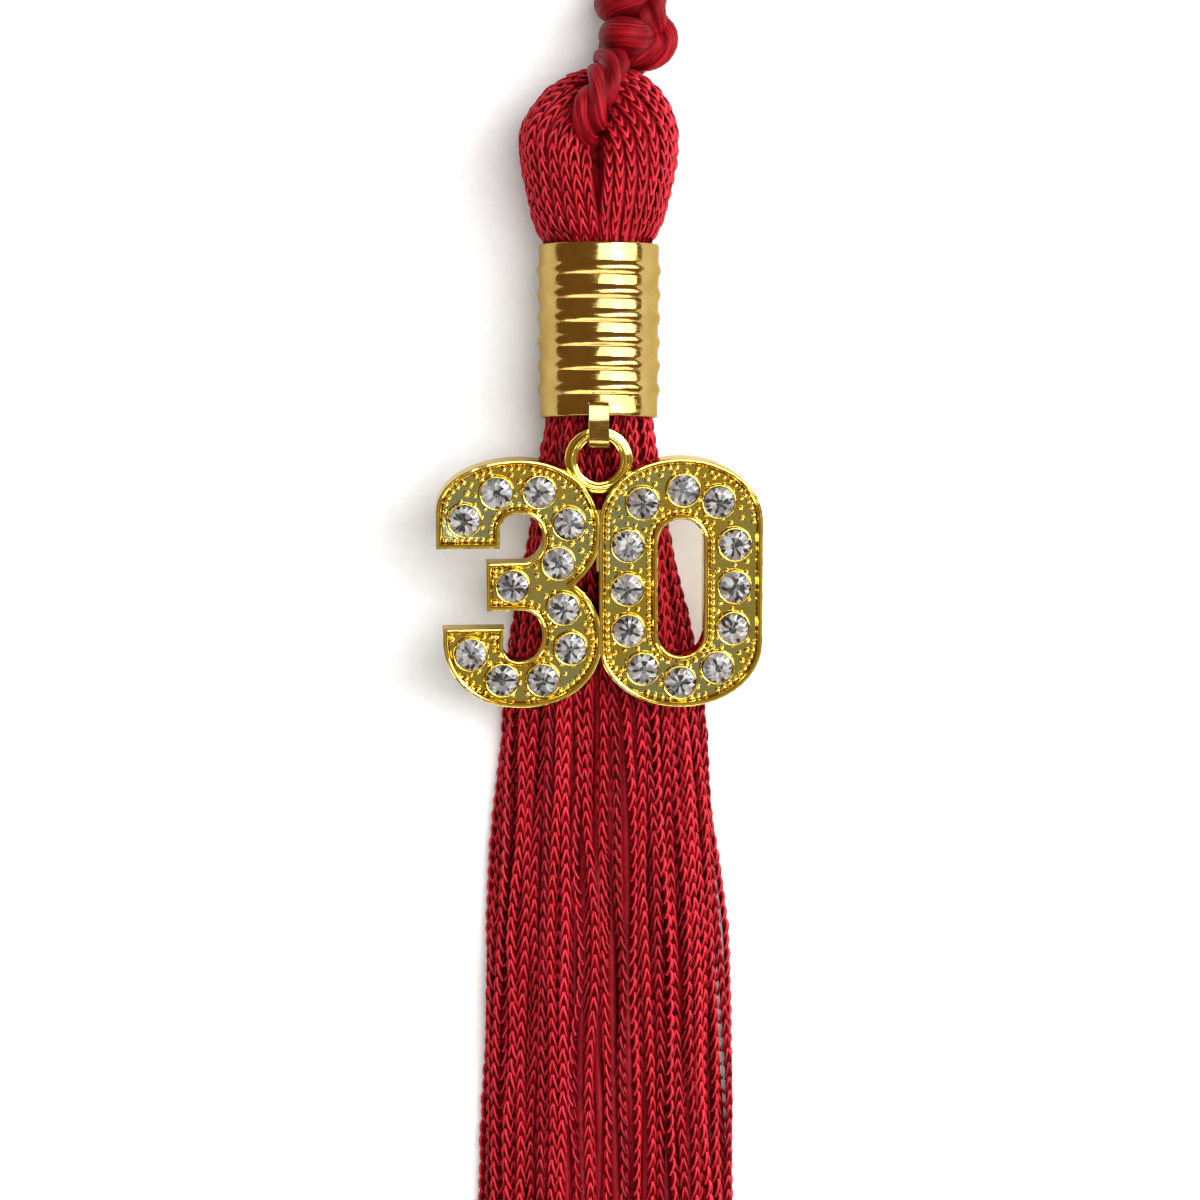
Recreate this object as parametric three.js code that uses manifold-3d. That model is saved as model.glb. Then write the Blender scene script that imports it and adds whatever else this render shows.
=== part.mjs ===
// A graduation tassel that lies on its back. Millimetres, +Z up, the surface it lies on is Z = 0.
// The tassel runs along Y: its cord loop points to +Y and the cut ends of its strands to -Y.
// A skein of chain yarn is folded over a twisted cord and gripped by a ribbed metal barrel. A strap hook
// on the barrel's lower rim carries a cast number charm, set with clear stones, that swings on the hook.
import * as THREE from 'three';
import Module from 'manifold-3d';

const wasm = await Module();
wasm.setup();

// Clearances
const GAP = 0.3;
const BLEND = 0.05;

// Barrel: rolled sheet with six raised ribs, a little narrower at its mouth, which is at Y = 0
const BARREL_LENGTH = 16.0;
const BARREL_MOUTH_RADIUS = 5.42;
const BARREL_TOP_RADIUS = 5.58;
const BARREL_WALL = 0.35;
const RIB_COUNT = 6;
const RIB_FIRST = 2.6;
const RIB_PITCH = 2.2;
const RIB_HALF_WIDTH = 0.62;
const RIB_HEIGHT = 0.2;
const BARREL_FACETS = 28;
const AXIS_HEIGHT = 5.85;

// Skein: the neck fills the barrel, the head is an arch of two halves, the strands hang below
const NECK_RADIUS = BARREL_MOUTH_RADIUS - BARREL_WALL - GAP;
const NECK_END = 1.0;
const NECK_LOW = AXIS_HEIGHT - NECK_RADIUS;
const NECK_HIGH = AXIS_HEIGHT + NECK_RADIUS;
const YARNS_PER_FACE = 7;
const YARN_GROOVE = 0.42;
const SKIRT_LENGTH = 196;
const STRANDS_IN_LAYER = [14, 14, 12, 8];
const STRAND_GAP = 0.36;
const STRAND_WIDEST = 1.5;
const SIDEWAYS_STEP = 0.22;
const SKIRT_FULLNESS = 2.4;
const ROOT_END = 8;
const ROOT_GAP = 0.1;
const ROOT_INSET = 0.3;
const TIP_SPREAD = 3.5;

// Cord: two plies twisted together
const CORD_RADIUS = 1.52;
const CORD_PITCH = 11;
const CORD_SIDES = 8;
const CORD_GROOVE = 0.24;
const KNOT_TOP = 39.8;

// Hook: a flat strip bent round the ring's bar, which is also the hinge
const HINGE_BELOW_MOUTH = 1.52;
const HINGE_HEIGHT = 11.0;
const STRAP_WIDTH = 1.96;
const STRAP_THICKNESS = 0.4;
const STRAP_BEND = 1.2;
const STRAP_FRONT_OVERLAP = 1.2;
const STRAP_BACK_OVERLAP = 1.7;

// Number charm, in its own frame: origin at the hinge, +Y towards the hook, +Z out of its face
const CHARM_TILT = THREE.MathUtils.degToRad(10);
const CHARM_ROLL = THREE.MathUtils.degToRad(4);
const CHARM_HALF_THICKNESS = 1.2;
const RIM_WIDTH = 0.45;
const FLOOR_DEPTH = 0.5;
const RING_OUTER = 3.12;
const RING_INNER = 1.95;
const RING_HALF_THICKNESS = 0.68;
const RING_CENTRE = -(RING_OUTER + RING_INNER) / 2;
const STONE_RADIUS = 1.42;
const STONE_TABLE_RADIUS = 0.86;
const STONE_BASE_RADIUS = 0.95;
const STONE_FACETS = 10;

const yarnRed = new THREE.MeshStandardMaterial({ color: 0xa51a30, roughness: 0.6, metalness: 0 });
const cordRed = new THREE.MeshStandardMaterial({ color: 0x9c1a2c, roughness: 0.42, metalness: 0 });
const barrelGold = new THREE.MeshStandardMaterial({ color: 0xd8b25a, roughness: 0.16, metalness: 1 });
const charmGold = new THREE.MeshStandardMaterial({ color: 0xd2a92e, roughness: 0.2, metalness: 1 });
const clearStone = new THREE.MeshStandardMaterial({ color: 0xe8ecf0, roughness: 0.05, metalness: 0.1 });

function piece(name, geometry, material) {
  const mesh = new THREE.Mesh(geometry, material);
  mesh.name = name;
  return mesh;
}

// A closed geometry becomes a solid that can be joined and cut
function solidOf(geometry) {
  const place = geometry.getAttribute('position');
  const found = new Map();
  const points = [];
  const corner = [];
  for (let i = 0; i < place.count; i++) {
    const p = [place.getX(i), place.getY(i), place.getZ(i)];
    const key = p.map((v) => Math.round(v * 1e4)).join(',');
    if (!found.has(key)) {
      found.set(key, points.length / 3);
      points.push(...p);
    }
    corner.push(found.get(key));
  }
  const order = geometry.index ? Array.from(geometry.index.array) : corner.map((_, i) => i);
  const faces = [];
  for (let i = 0; i < order.length; i += 3) {
    const [a, b, c] = [corner[order[i]], corner[order[i + 1]], corner[order[i + 2]]];
    if (a !== b && b !== c && c !== a) faces.push(a, b, c);
  }
  const mesh = new wasm.Mesh({
    numProp: 3,
    vertProperties: new Float32Array(points),
    triVerts: new Uint32Array(faces),
  });
  return new wasm.Manifold(mesh);
}

function geometryOf(solid) {
  const mesh = solid.getMesh();
  const geometry = new THREE.BufferGeometry();
  geometry.setAttribute('position', new THREE.BufferAttribute(new Float32Array(mesh.vertProperties), 3));
  geometry.setIndex(new THREE.BufferAttribute(new Uint32Array(mesh.triVerts), 1));
  return geometry;
}

function joined(solids) {
  return solids.reduce((whole, next) => whole.add(next));
}

// A closed skin through rings of points. Each ring goes the same way round, and a fan closes each end.
function loft(rings) {
  const around = rings[0].length;
  const points = rings.flat();
  const faces = [];
  for (let r = 0; r + 1 < rings.length; r++) {
    for (let k = 0; k < around; k++) {
      const next = (k + 1) % around;
      const [a, b] = [r * around + k, r * around + next];
      const [c, d] = [a + around, b + around];
      faces.push(a, b, d, a, d, c);
    }
  }
  for (const [ring, flip] of [[0, true], [rings.length - 1, false]]) {
    const middle = new THREE.Vector3();
    rings[ring].forEach((p) => middle.addScaledVector(p, 1 / around));
    points.push(middle);
    for (let k = 0; k < around; k++) {
      const edge = [ring * around + k, ring * around + ((k + 1) % around)];
      faces.push(points.length - 1, ...(flip ? edge.reverse() : edge));
    }
  }
  const geometry = new THREE.BufferGeometry().setFromPoints(points);
  geometry.setIndex(faces);
  return geometry;
}

// Two plies twisted together along a route: a section with two lobes that turns as it goes
function twistedCord(route, radius, step) {
  const points = route.map((p) => new THREE.Vector3(...p));
  const curve = new THREE.CatmullRomCurve3(points, false, 'centripetal');
  const length = curve.getLength();
  const steps = Math.max(4, Math.round(length / step));
  const frames = curve.computeFrenetFrames(steps, false);
  const rings = [];
  for (let s = 0; s <= steps; s++) {
    const centre = curve.getPointAt(s / steps);
    const twist = (-2 * Math.PI * length * s) / steps / CORD_PITCH;
    const ring = [];
    for (let k = 0; k < CORD_SIDES; k++) {
      const angle = (2 * Math.PI * k) / CORD_SIDES;
      const lobe = 1 - CORD_GROOVE * Math.sin(angle) ** 4;
      const p = centre.clone();
      p.addScaledVector(frames.normals[s], radius * lobe * Math.cos(angle + twist));
      p.addScaledVector(frames.binormals[s], radius * lobe * Math.sin(angle + twist));
      ring.push(p);
    }
    rings.push(ring);
  }
  return loft(rings);
}

function barrelRadius(y) {
  return THREE.MathUtils.lerp(BARREL_MOUTH_RADIUS, BARREL_TOP_RADIUS, y / BARREL_LENGTH);
}

function barrelGeometry() {
  const outside = [[barrelRadius(0), 0]];
  const ribShape = [[-1, 0], [-0.5, 0.95], [0.5, 0.95], [1, 0]];
  for (let rib = 0; rib < RIB_COUNT; rib++) {
    const middle = RIB_FIRST + rib * RIB_PITCH;
    for (const [along, rise] of ribShape) {
      const y = middle + along * RIB_HALF_WIDTH;
      outside.push([barrelRadius(y) + rise * RIB_HEIGHT, y]);
    }
  }
  outside.push([barrelRadius(BARREL_LENGTH), BARREL_LENGTH]);
  const inside = [BARREL_LENGTH, 0].map((y) => [barrelRadius(y) - BARREL_WALL, y]);
  const profile = [...outside, ...inside, outside[0]].map((p) => new THREE.Vector2(...p));
  return new THREE.LatheGeometry(profile, BARREL_FACETS);
}

// The head and the neck, from the barrel's mouth up to the crown that the cord holds. Each row is one
// section of both halves: the outline left and right, the inner edge where the halves meet, the lowest and
// the highest point, how full its corners are, and how far a half disc has become a round bundle.
const HEAD_SECTIONS = [
  [[-NECK_RADIUS, NECK_END], [NECK_RADIUS, NECK_END], [0, NECK_END], NECK_LOW, NECK_HIGH, 2, 0],
  [[-NECK_RADIUS, 15.7], [NECK_RADIUS, 15.7], [0, 15.7], NECK_LOW, NECK_HIGH, 2, 0],
  [[-5.5, 16.6], [5.4, 16.6], [0, 16.5], 0.5, 11.1, 2.1, 0],
  [[-6.3, 17.9], [6.2, 18.1], [0, 17.8], 0.0, 11.6, 2.4, 0],
  [[-6.8, 20.3], [6.8, 20.6], [0, 20.0], -0.3, 12.0, 2.7, 0],
  [[-7.3, 23.0], [7.3, 23.0], [0, 22.3], -0.3, 12.2, 2.8, 0.1],
  [[-7.5, 25.3], [7.5, 25.3], [-0.1, 24.2], -0.3, 12.1, 2.8, 0.25],
  [[-7.2, 27.2], [7.35, 26.9], [-0.2, 25.4], -0.2, 11.8, 2.7, 0.4],
  [[-6.1, 29.0], [6.9, 28.5], [-0.2, 26.3], 0.3, 11.3, 2.5, 0.6],
  [[-4.9, 30.4], [6.1, 29.9], [-0.1, 27.0], 0.9, 10.8, 2.3, 0.8],
  [[-3.4, 31.4], [4.9, 31.2], [0.1, 27.5], 1.3, 10.3, 2.2, 1],
  [[-1.7, 32.2], [3.2, 32.2], [0.4, 27.8], 1.6, 9.9, 2.2, 1],
  [[1.0, 32.6], [0.4, 32.6], [0.7, 27.9], 1.7, 9.8, 2.2, 1],
].map(([left, right, inner, low, high, full, bundle]) => ({ left, right, inner, low, high, full, bundle }));

// How high a section stands at a share of its way out, 0 at the inner edge and 1 at the outline
function sectionHeight(out, row) {
  const halfDisc = (1 - out ** row.full) ** (1 / row.full);
  const round = 0.2 + 0.8 * (1 - Math.abs(2 * out - 1) ** row.full) ** (1 / row.full);
  const closing = out > 0.999 ? 0 : 1;
  return closing * THREE.MathUtils.lerp(halfDisc, round, row.bundle);
}

function headHalf(side) {
  const samples = YARNS_PER_FACE * 3;
  const rings = HEAD_SECTIONS.map((row) => {
    const outline = side < 0 ? row.left : row.right;
    const inner = [row.inner[0] - side * BLEND, row.inner[1]];
    const middle = (row.low + row.high) / 2;
    const centre = new THREE.Vector3((outline[0] + inner[0]) / 2, (outline[1] + inner[1]) / 2, middle);
    const ring = [];
    for (const face of [1, -1]) {
      for (let i = 0; i <= samples; i++) {
        const k = face > 0 ? i : samples - i;
        if (k === samples && face < 0) continue;
        const out = (1 - Math.cos((Math.PI * k) / samples)) / 2;
        const rise = (face > 0 ? row.high - middle : middle - row.low) * sectionHeight(out, row);
        const p = new THREE.Vector3(
          THREE.MathUtils.lerp(inner[0], outline[0], out),
          THREE.MathUtils.lerp(inner[1], outline[1], out),
          middle + face * rise,
        );
        if (k % 3 === 0 && k > 0) p.lerp(centre, YARN_GROOVE / p.distanceTo(centre));
        p.z = Math.max(p.z, 0);
        ring.push(p);
      }
    }
    return side < 0 ? ring.reverse() : ring;
  });
  return loft(rings);
}

// The hanging strands at rows of distances below the mouth: the outline left and right, the lowest and
// the highest point, and how far the round bundle has come down flat on the surface
const SKIRT_STATIONS = [
  { below: -2.5, left: -3.8, right: 3.8, low: 2.0, high: 9.5, flat: 0 },
  { below: 0, left: -3.95, right: 3.95, low: 1.9, high: 9.5, flat: 0 },
  { below: 0.8, left: -5.0, right: 5.05, low: 0.95, high: 9.2, flat: 0.05 },
  { below: 3.5, left: -5.85, right: 5.75, low: 0.35, high: 8.95, flat: 0.3 },
  { below: ROOT_END, left: -6.6, right: 6.75, low: 0, high: 8.15, flat: 0.65 },
  { below: 19.6, left: -8.4, right: 8.9, low: 0, high: 6.1, flat: 1 },
  { below: 27.5, left: -9.2, right: 9.9, low: 0, high: 4.8, flat: 1 },
  { below: 47.5, left: -10.7, right: 11.9, low: 0, high: 4.9, flat: 1 },
  { below: 85, left: -11.7, right: 13.2, low: 0, high: 4.7, flat: 1 },
  { below: 140, left: -12.5, right: 14.0, low: 0, high: 4.4, flat: 1 },
  { below: SKIRT_LENGTH, left: -13.2, right: 14.8, low: 0, high: 4.2, flat: 1 },
];

// The same uneven number between 0 and 1 for the same strand each time
function unevenness(layer, place) {
  const wave = Math.sin(12.9898 * (place + 1) + 78.233 * (layer + 1)) * 43758.5453;
  return wave - Math.floor(wave);
}

// How far out the skirt's section reaches at a share of its height, when it is round and when it lies flat
function reachAt(height, flat) {
  const round = (1 - Math.abs(2 * height - 1) ** SKIRT_FULLNESS) ** (1 / SKIRT_FULLNESS);
  const lying = (1 - height ** SKIRT_FULLNESS) ** (1 / SKIRT_FULLNESS);
  return THREE.MathUtils.lerp(round, lying, flat);
}

// One strand: the layers lie on each other, and every other layer is moved sideways to cover the gaps below
function strand(layer, place) {
  const count = STRANDS_IN_LAYER[layer];
  const across = (2 * (place + 0.5 + (layer % 2 ? SIDEWAYS_STEP : -SIDEWAYS_STEP))) / count - 1;
  const last = SKIRT_STATIONS.length - 1;
  const rings = SKIRT_STATIONS.map((row, r) => {
    const gap = row.below < ROOT_END ? ROOT_GAP : STRAND_GAP;
    const reach = reachAt((layer + 0.5) / STRANDS_IN_LAYER.length, row.flat);
    const halfSpan = ((row.right - row.left) / 2) * reach;
    const sway = 0.4 * Math.min(1, Math.max(0, row.below) / 60) * Math.sin(row.below / 17 + 0.6 * across);
    const x = (row.left + row.right) / 2 + across * halfSpan + sway;
    const halfWidth = Math.min((2 * halfSpan) / count - gap, STRAND_WIDEST) / 2;
    const crown = 1 - 0.1 * row.flat * (across * reach) ** 2;
    const cell = ((row.high - row.low) * crown) / STRANDS_IN_LAYER.length;
    const bottom = row.low + layer * cell;
    const top = bottom + cell - gap;
    const y = -row.below + (r === last ? TIP_SPREAD * unevenness(layer, place) : 0);
    return [[-1, bottom], [1, bottom], [1, top], [-1, top]]
      .map(([side, z]) => new THREE.Vector3(x + side * halfWidth, y, z));
  });
  return loft(rings);
}

// The strands' roots, one bundle that leaves the barrel and ends among the strands
function rootsGeometry() {
  const rows = SKIRT_STATIONS.filter((row) => row.below <= ROOT_END);
  const bend = (value) => Math.sign(value) * Math.abs(value) ** (2 / SKIRT_FULLNESS);
  return loft(rows.map((row, r) => {
    const inset = r < rows.length - 1 ? ROOT_INSET : 5 * ROOT_INSET;
    const centre = new THREE.Vector3((row.left + row.right) / 2, -row.below, (row.low + row.high) / 2);
    const [wide, tall] = [(row.right - row.left) / 2 - inset, (row.high - row.low) / 2 - inset];
    return Array.from({ length: 20 }, (_, k) => (2 * Math.PI * (k + 0.37)) / 20).map((angle) =>
      centre.clone().add(new THREE.Vector3(wide * bend(Math.cos(angle)), 0, tall * bend(Math.sin(angle)))));
  }));
}

// The cord's stretch through the head, in front over the crown and back under it
const SADDLE_ROUTE = [
  [1.9, 33.6, 4.6], [1.3, 32.8, 7.2], [0.9, 31.4, 9.6], [0.4, 29.6, 11.2], [-0.4, 27.8, 11.6],
  [-0.9, 26.6, 10.2], [-0.9, 26.1, 7.6], [-0.6, 26.1, 4.6], [0.0, 27.0, 2.4], [1.0, 29.0, 1.85],
  [2.1, 31.2, 1.85], [3.0, 33.0, 2.3], [3.4, 34.4, 3.2],
];
const SADDLE_RADIUS = 1.75;
// The two strands that leave the knot for the loop, and the bulge on its right side
const KNOT_STRANDS = [
  [[3.4, 34.4, 2.2], [4.5, 36.6, 2.4], [4.8, 38.4, 2.3], [4.8, KNOT_TOP, 2.1]],
  [[1.6, 34.8, 2.2], [1.0, 36.8, 2.1], [1.1, 38.4, 2.1], [1.2, KNOT_TOP, 2.1]],
  [[3.9, 37.0, 3.4], [5.5, 35.9, 4.0], [5.3, 34.2, 4.2], [3.6, 33.1, 4.2], [2.0, 33.4, 4.2]],
];
// The knot's two turns over its front: centre, half sizes and lean
const KNOT_TURNS = [
  { centre: [2.55, 35.1, 3.7], half: [2.6, 1.8, 3.3], lean: -0.06 },
  { centre: [2.2, 38.1, 3.3], half: [2.6, 1.65, 3.0], lean: 0.1 },
];

function knotTurn({ centre, half, lean }) {
  const geometry = new THREE.SphereGeometry(1, 16, 10);
  geometry.scale(...half);
  geometry.rotateZ(lean);
  geometry.translate(...centre);
  return solidOf(geometry);
}

function knottedCordSolid() {
  const saddle = solidOf(twistedCord(SADDLE_ROUTE, SADDLE_RADIUS, 1.3));
  const strands = KNOT_STRANDS.map((route) => solidOf(twistedCord(route, CORD_RADIUS, 1.2)));
  return joined([saddle, ...strands, ...KNOT_TURNS.map(knotTurn)]);
}

// The room that a stretch of cord needs through the yarn
function roomAlong(points, radius) {
  const route = points.map((p) => new THREE.Vector3(...p));
  const circle = new THREE.Shape();
  circle.absarc(0, 0, radius + GAP, 0, 2 * Math.PI);
  const curve = new THREE.CatmullRomCurve3(route, false, 'centripetal');
  return solidOf(new THREE.ExtrudeGeometry(circle, { steps: 20, curveSegments: 6, extrudePath: curve }));
}

function skeinGeometry() {
  const strands = STRANDS_IN_LAYER.flatMap((count, layer) =>
    Array.from({ length: count }, (_, place) => solidOf(strand(layer, place))));
  const head = joined([headHalf(-1), headHalf(1), rootsGeometry()].map(solidOf));
  const strapRoom = new THREE.BoxGeometry(STRAP_WIDTH + 2.4 * GAP, 3.2, 2);
  strapRoom.translate(0, STRAP_BACK_OVERLAP + GAP - 1.6, HINGE_HEIGHT - 1.2 + 1);
  const body = head
    .subtract(roomAlong(SADDLE_ROUTE, SADDLE_RADIUS))
    .subtract(roomAlong(KNOT_STRANDS[2], CORD_RADIUS))
    .subtract(solidOf(strapRoom));
  return geometryOf(joined([body, ...strands]));
}

// The long loop above the knot, which lies on the surface
const LOOP_HEIGHT = CORD_RADIUS + 0.06;
const LOOP_ROUTE = [
  [4.8, KNOT_TOP + GAP, 2.1], [4.95, 43.4, 1.75], [5.6, 49, LOOP_HEIGHT], [6.6, 58, LOOP_HEIGHT],
  [7.6, 70, LOOP_HEIGHT], [8.3, 82, LOOP_HEIGHT], [8.8, 94, LOOP_HEIGHT], [9.1, 104, LOOP_HEIGHT],
  [8.7, 112, LOOP_HEIGHT], [6.8, 118.4, LOOP_HEIGHT], [3.0, 122.2, LOOP_HEIGHT],
  [-1.4, 121.8, LOOP_HEIGHT], [-4.7, 117.9, LOOP_HEIGHT], [-5.8, 111, LOOP_HEIGHT],
  [-5.2, 102, LOOP_HEIGHT], [-4.0, 92, LOOP_HEIGHT], [-2.7, 80, LOOP_HEIGHT], [-1.5, 68, LOOP_HEIGHT],
  [-0.4, 57, LOOP_HEIGHT], [0.5, 49, LOOP_HEIGHT], [1.05, 43.4, 1.75], [1.2, KNOT_TOP + GAP, 2.1],
];

// The hook's strip, seen from the side: down the barrel's front, round the ring's bar and up inside
function hookGeometry() {
  const frontTop = AXIS_HEIGHT + BARREL_MOUTH_RADIUS + GAP + STRAP_THICKNESS / 2 - HINGE_HEIGHT;
  const backTop = frontTop - BARREL_WALL - 2 * GAP - STRAP_THICKNESS;
  const line = [
    [HINGE_BELOW_MOUTH + STRAP_FRONT_OVERLAP, frontTop + 0.04],
    [HINGE_BELOW_MOUTH + 0.2, frontTop],
    [0.75, (frontTop + STRAP_BEND) / 2 + 0.08],
  ];
  for (let angle = 90; angle <= 270; angle += 22.5) {
    const a = THREE.MathUtils.degToRad(angle);
    line.push([STRAP_BEND * Math.cos(a), STRAP_BEND * Math.sin(a)]);
  }
  line.push([0.75, (backTop - STRAP_BEND) / 2 - 0.05]);
  line.push([HINGE_BELOW_MOUTH - 0.1, backTop]);
  line.push([HINGE_BELOW_MOUTH + STRAP_BACK_OVERLAP, backTop]);
  const points = line.map((p) => new THREE.Vector2(...p));
  const sides = [1, -1].map((side) => points.map((p, i) => {
    const [before, after] = [points[Math.max(i - 1, 0)], points[Math.min(i + 1, points.length - 1)]];
    const along = after.clone().sub(before).setLength(STRAP_THICKNESS / 2);
    return new THREE.Vector2(p.x - side * along.y, p.y + side * along.x);
  }));
  const outline = new THREE.Shape([...sides[0], ...sides[1].reverse()]);
  const geometry = new THREE.ExtrudeGeometry(outline, { depth: STRAP_WIDTH, bevelEnabled: false });
  const turned = new THREE.Matrix4().makeBasis(
    new THREE.Vector3(0, 1, 0), new THREE.Vector3(0, 0, 1), new THREE.Vector3(1, 0, 0));
  geometry.applyMatrix4(turned);
  geometry.translate(-STRAP_WIDTH / 2, 0, 0);
  return geometry;
}

// The outlines of the two numerals on the charm's face
function threeOutline() {
  const s = new THREE.Shape();
  s.moveTo(-15.0, -10.5);
  s.lineTo(-9.15, -10.5);
  s.lineTo(-9.15, -8.9);
  s.bezierCurveTo(-9.1, -8.0, -8.5, -7.3, -7.4, -7.3);
  s.bezierCurveTo(-6.1, -7.3, -5.2, -8.3, -5.2, -9.6);
  s.bezierCurveTo(-5.2, -10.8, -6.0, -11.8, -7.1, -11.8);
  s.lineTo(-10.4, -11.8);
  s.lineTo(-10.4, -16.3);
  s.lineTo(-7.1, -16.3);
  s.bezierCurveTo(-6.0, -16.3, -5.25, -17.3, -5.25, -18.7);
  s.bezierCurveTo(-5.25, -20.1, -6.1, -21.0, -7.4, -21.0);
  s.bezierCurveTo(-8.3, -21.0, -9.0, -20.4, -8.9, -19.3);
  s.lineTo(-8.75, -17.9);
  s.lineTo(-14.4, -17.9);
  s.lineTo(-14.4, -19.3);
  s.bezierCurveTo(-14.2, -22.8, -11.4, -25.4, -7.2, -25.4);
  s.bezierCurveTo(-2.6, -25.4, 0.2, -22.6, 0.2, -19.3);
  s.bezierCurveTo(0.2, -17.0, -0.6, -15.2, -2.2, -13.9);
  s.bezierCurveTo(-0.7, -12.5, 0.05, -11.2, 0.05, -9.1);
  s.bezierCurveTo(0.05, -4.9, -3.2, -2.3, -7.4, -2.3);
  s.bezierCurveTo(-11.0, -2.3, -14.9, -3.9, -15.0, -7.0);
  s.lineTo(-15.0, -10.5);
  return s;
}

const ZERO = { middle: 7.48, halfWidth: 7.56, top: -2.3, bottom: -25.5, shoulder: 5.9 };
const ZERO_EYE = { halfWidth: 2.13, top: -7.95, bottom: -20.7 };

function zeroOutline() {
  const { middle, halfWidth, top, bottom, shoulder } = ZERO;
  const s = new THREE.Shape();
  s.absellipse(middle, bottom + shoulder, halfWidth, shoulder, Math.PI, 2 * Math.PI);
  s.absellipse(middle, top - shoulder, halfWidth, shoulder, 0, Math.PI);
  return s;
}

function zeroEye(grow = 0) {
  const radius = ZERO_EYE.halfWidth + grow;
  const s = new THREE.Shape();
  s.absarc(ZERO.middle, ZERO_EYE.top - ZERO_EYE.halfWidth, radius, 0, Math.PI);
  s.absarc(ZERO.middle, ZERO_EYE.bottom + ZERO_EYE.halfWidth, radius, Math.PI, 2 * Math.PI);
  return s;
}

// The same outline moved inwards by the rim's width
function insetOutline(shape, segments, distance) {
  const points = shape.getPoints(segments).filter((p, i, all) => !i || p.distanceTo(all[i - 1]) > 1e-4);
  if (points[0].distanceTo(points[points.length - 1]) < 1e-4) points.pop();
  const turn = THREE.ShapeUtils.area(points) > 0 ? 1 : -1;
  return new THREE.Shape(points.map((p, i) => {
    const before = points[(i + points.length - 1) % points.length];
    const after = points[(i + 1) % points.length];
    const a = p.clone().sub(before).normalize();
    const b = after.clone().sub(p).normalize();
    const normal = new THREE.Vector2(-(a.y + b.y), a.x + b.x).normalize().multiplyScalar(turn);
    const reach = distance / Math.max(0.5, normal.dot(new THREE.Vector2(-a.y, a.x).multiplyScalar(turn)));
    return p.clone().addScaledVector(normal, reach);
  }));
}

function slab(shape, low, high, segments) {
  const geometry = new THREE.ExtrudeGeometry(shape, {
    depth: high - low, bevelEnabled: false, curveSegments: segments });
  geometry.translate(0, 0, low);
  return solidOf(geometry);
}

function ringSolid() {
  const [edge, chamfer] = [RING_HALF_THICKNESS, 0.2];
  const profile = [
    [RING_INNER, -edge + chamfer], [RING_INNER + chamfer, -edge], [RING_OUTER - chamfer, -edge],
    [RING_OUTER, -edge + chamfer], [RING_OUTER, edge - chamfer], [RING_OUTER - chamfer, edge],
    [RING_INNER + chamfer, edge], [RING_INNER, edge - chamfer], [RING_INNER, -edge + chamfer],
  ].map((p) => new THREE.Vector2(...p));
  const geometry = new THREE.LatheGeometry(profile, 28);
  geometry.rotateX(Math.PI / 2);
  geometry.translate(0, RING_CENTRE, 0);
  return solidOf(geometry);
}

function charmGeometry() {
  const [segments, thick, floor] = [7, CHARM_HALF_THICKNESS, CHARM_HALF_THICKNESS - FLOOR_DEPTH];
  const past = 1;
  const plates = [threeOutline(), zeroOutline()].map((shape) => slab(shape, -thick, thick, segments));
  const eye = slab(zeroEye(), -thick - past, thick + past, 10);
  const floors = [threeOutline(), zeroOutline()]
    .map((shape) => slab(insetOutline(shape, segments, RIM_WIDTH), floor, thick + past, segments));
  const keptRim = slab(zeroEye(RIM_WIDTH), floor - past, thick + 2 * past, 10);
  const ringHole = new THREE.CylinderGeometry(RING_INNER + 0.1, RING_INNER + 0.1, 4 * thick, 28);
  ringHole.rotateX(Math.PI / 2);
  ringHole.translate(0, RING_CENTRE, 0);
  return geometryOf(joined(plates)
    .subtract(floors[0])
    .subtract(floors[1].subtract(keptRim))
    .subtract(eye)
    .subtract(solidOf(ringHole))
    .add(ringSolid()));
}

// Where the stones sit on the charm: the 3, then the 0
const STONE_PLACES = [
  [-12.4, -7.85], [-9.43, -5.32], [-5.55, -5.32], [-2.78, -8.23], [-3.79, -11.99], [-7.96, -14.05],
  [-3.33, -16.12], [-2.68, -19.87], [-11.84, -20.34], [-9.02, -22.79], [-5.18, -22.79],
  [3.98, -6.44], [7.68, -5.27], [11.0, -6.4], [2.64, -10.39], [12.4, -10.39], [2.59, -14.43],
  [12.49, -14.33], [2.68, -18.28], [12.3, -18.19], [3.98, -21.85], [7.4, -23.16], [10.92, -21.85],
];

function stoneGeometry() {
  const base = CHARM_HALF_THICKNESS - FLOOR_DEPTH + GAP;
  const profile = [
    [0, base], [STONE_BASE_RADIUS, base], [STONE_RADIUS, base + 0.35],
    [STONE_TABLE_RADIUS, base + 0.75], [0, base + 0.75],
  ].map((p) => new THREE.Vector2(...p));
  const geometry = new THREE.LatheGeometry(profile, STONE_FACETS);
  geometry.rotateX(Math.PI / 2);
  return geometry;
}

function charmAssembly() {
  const charm = new THREE.Group();
  charm.add(piece('number_charm', charmGeometry(), charmGold));
  STONE_PLACES.forEach(([x, y], i) => {
    const stone = piece(`stone_${String(i + 1).padStart(2, '0')}`, stoneGeometry(), clearStone);
    stone.position.set(x, y, 0);
    charm.add(stone);
  });
  charm.position.set(0, -HINGE_BELOW_MOUTH, HINGE_HEIGHT);
  charm.rotation.set(CHARM_TILT, CHARM_ROLL, 0);
  return charm;
}

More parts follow.
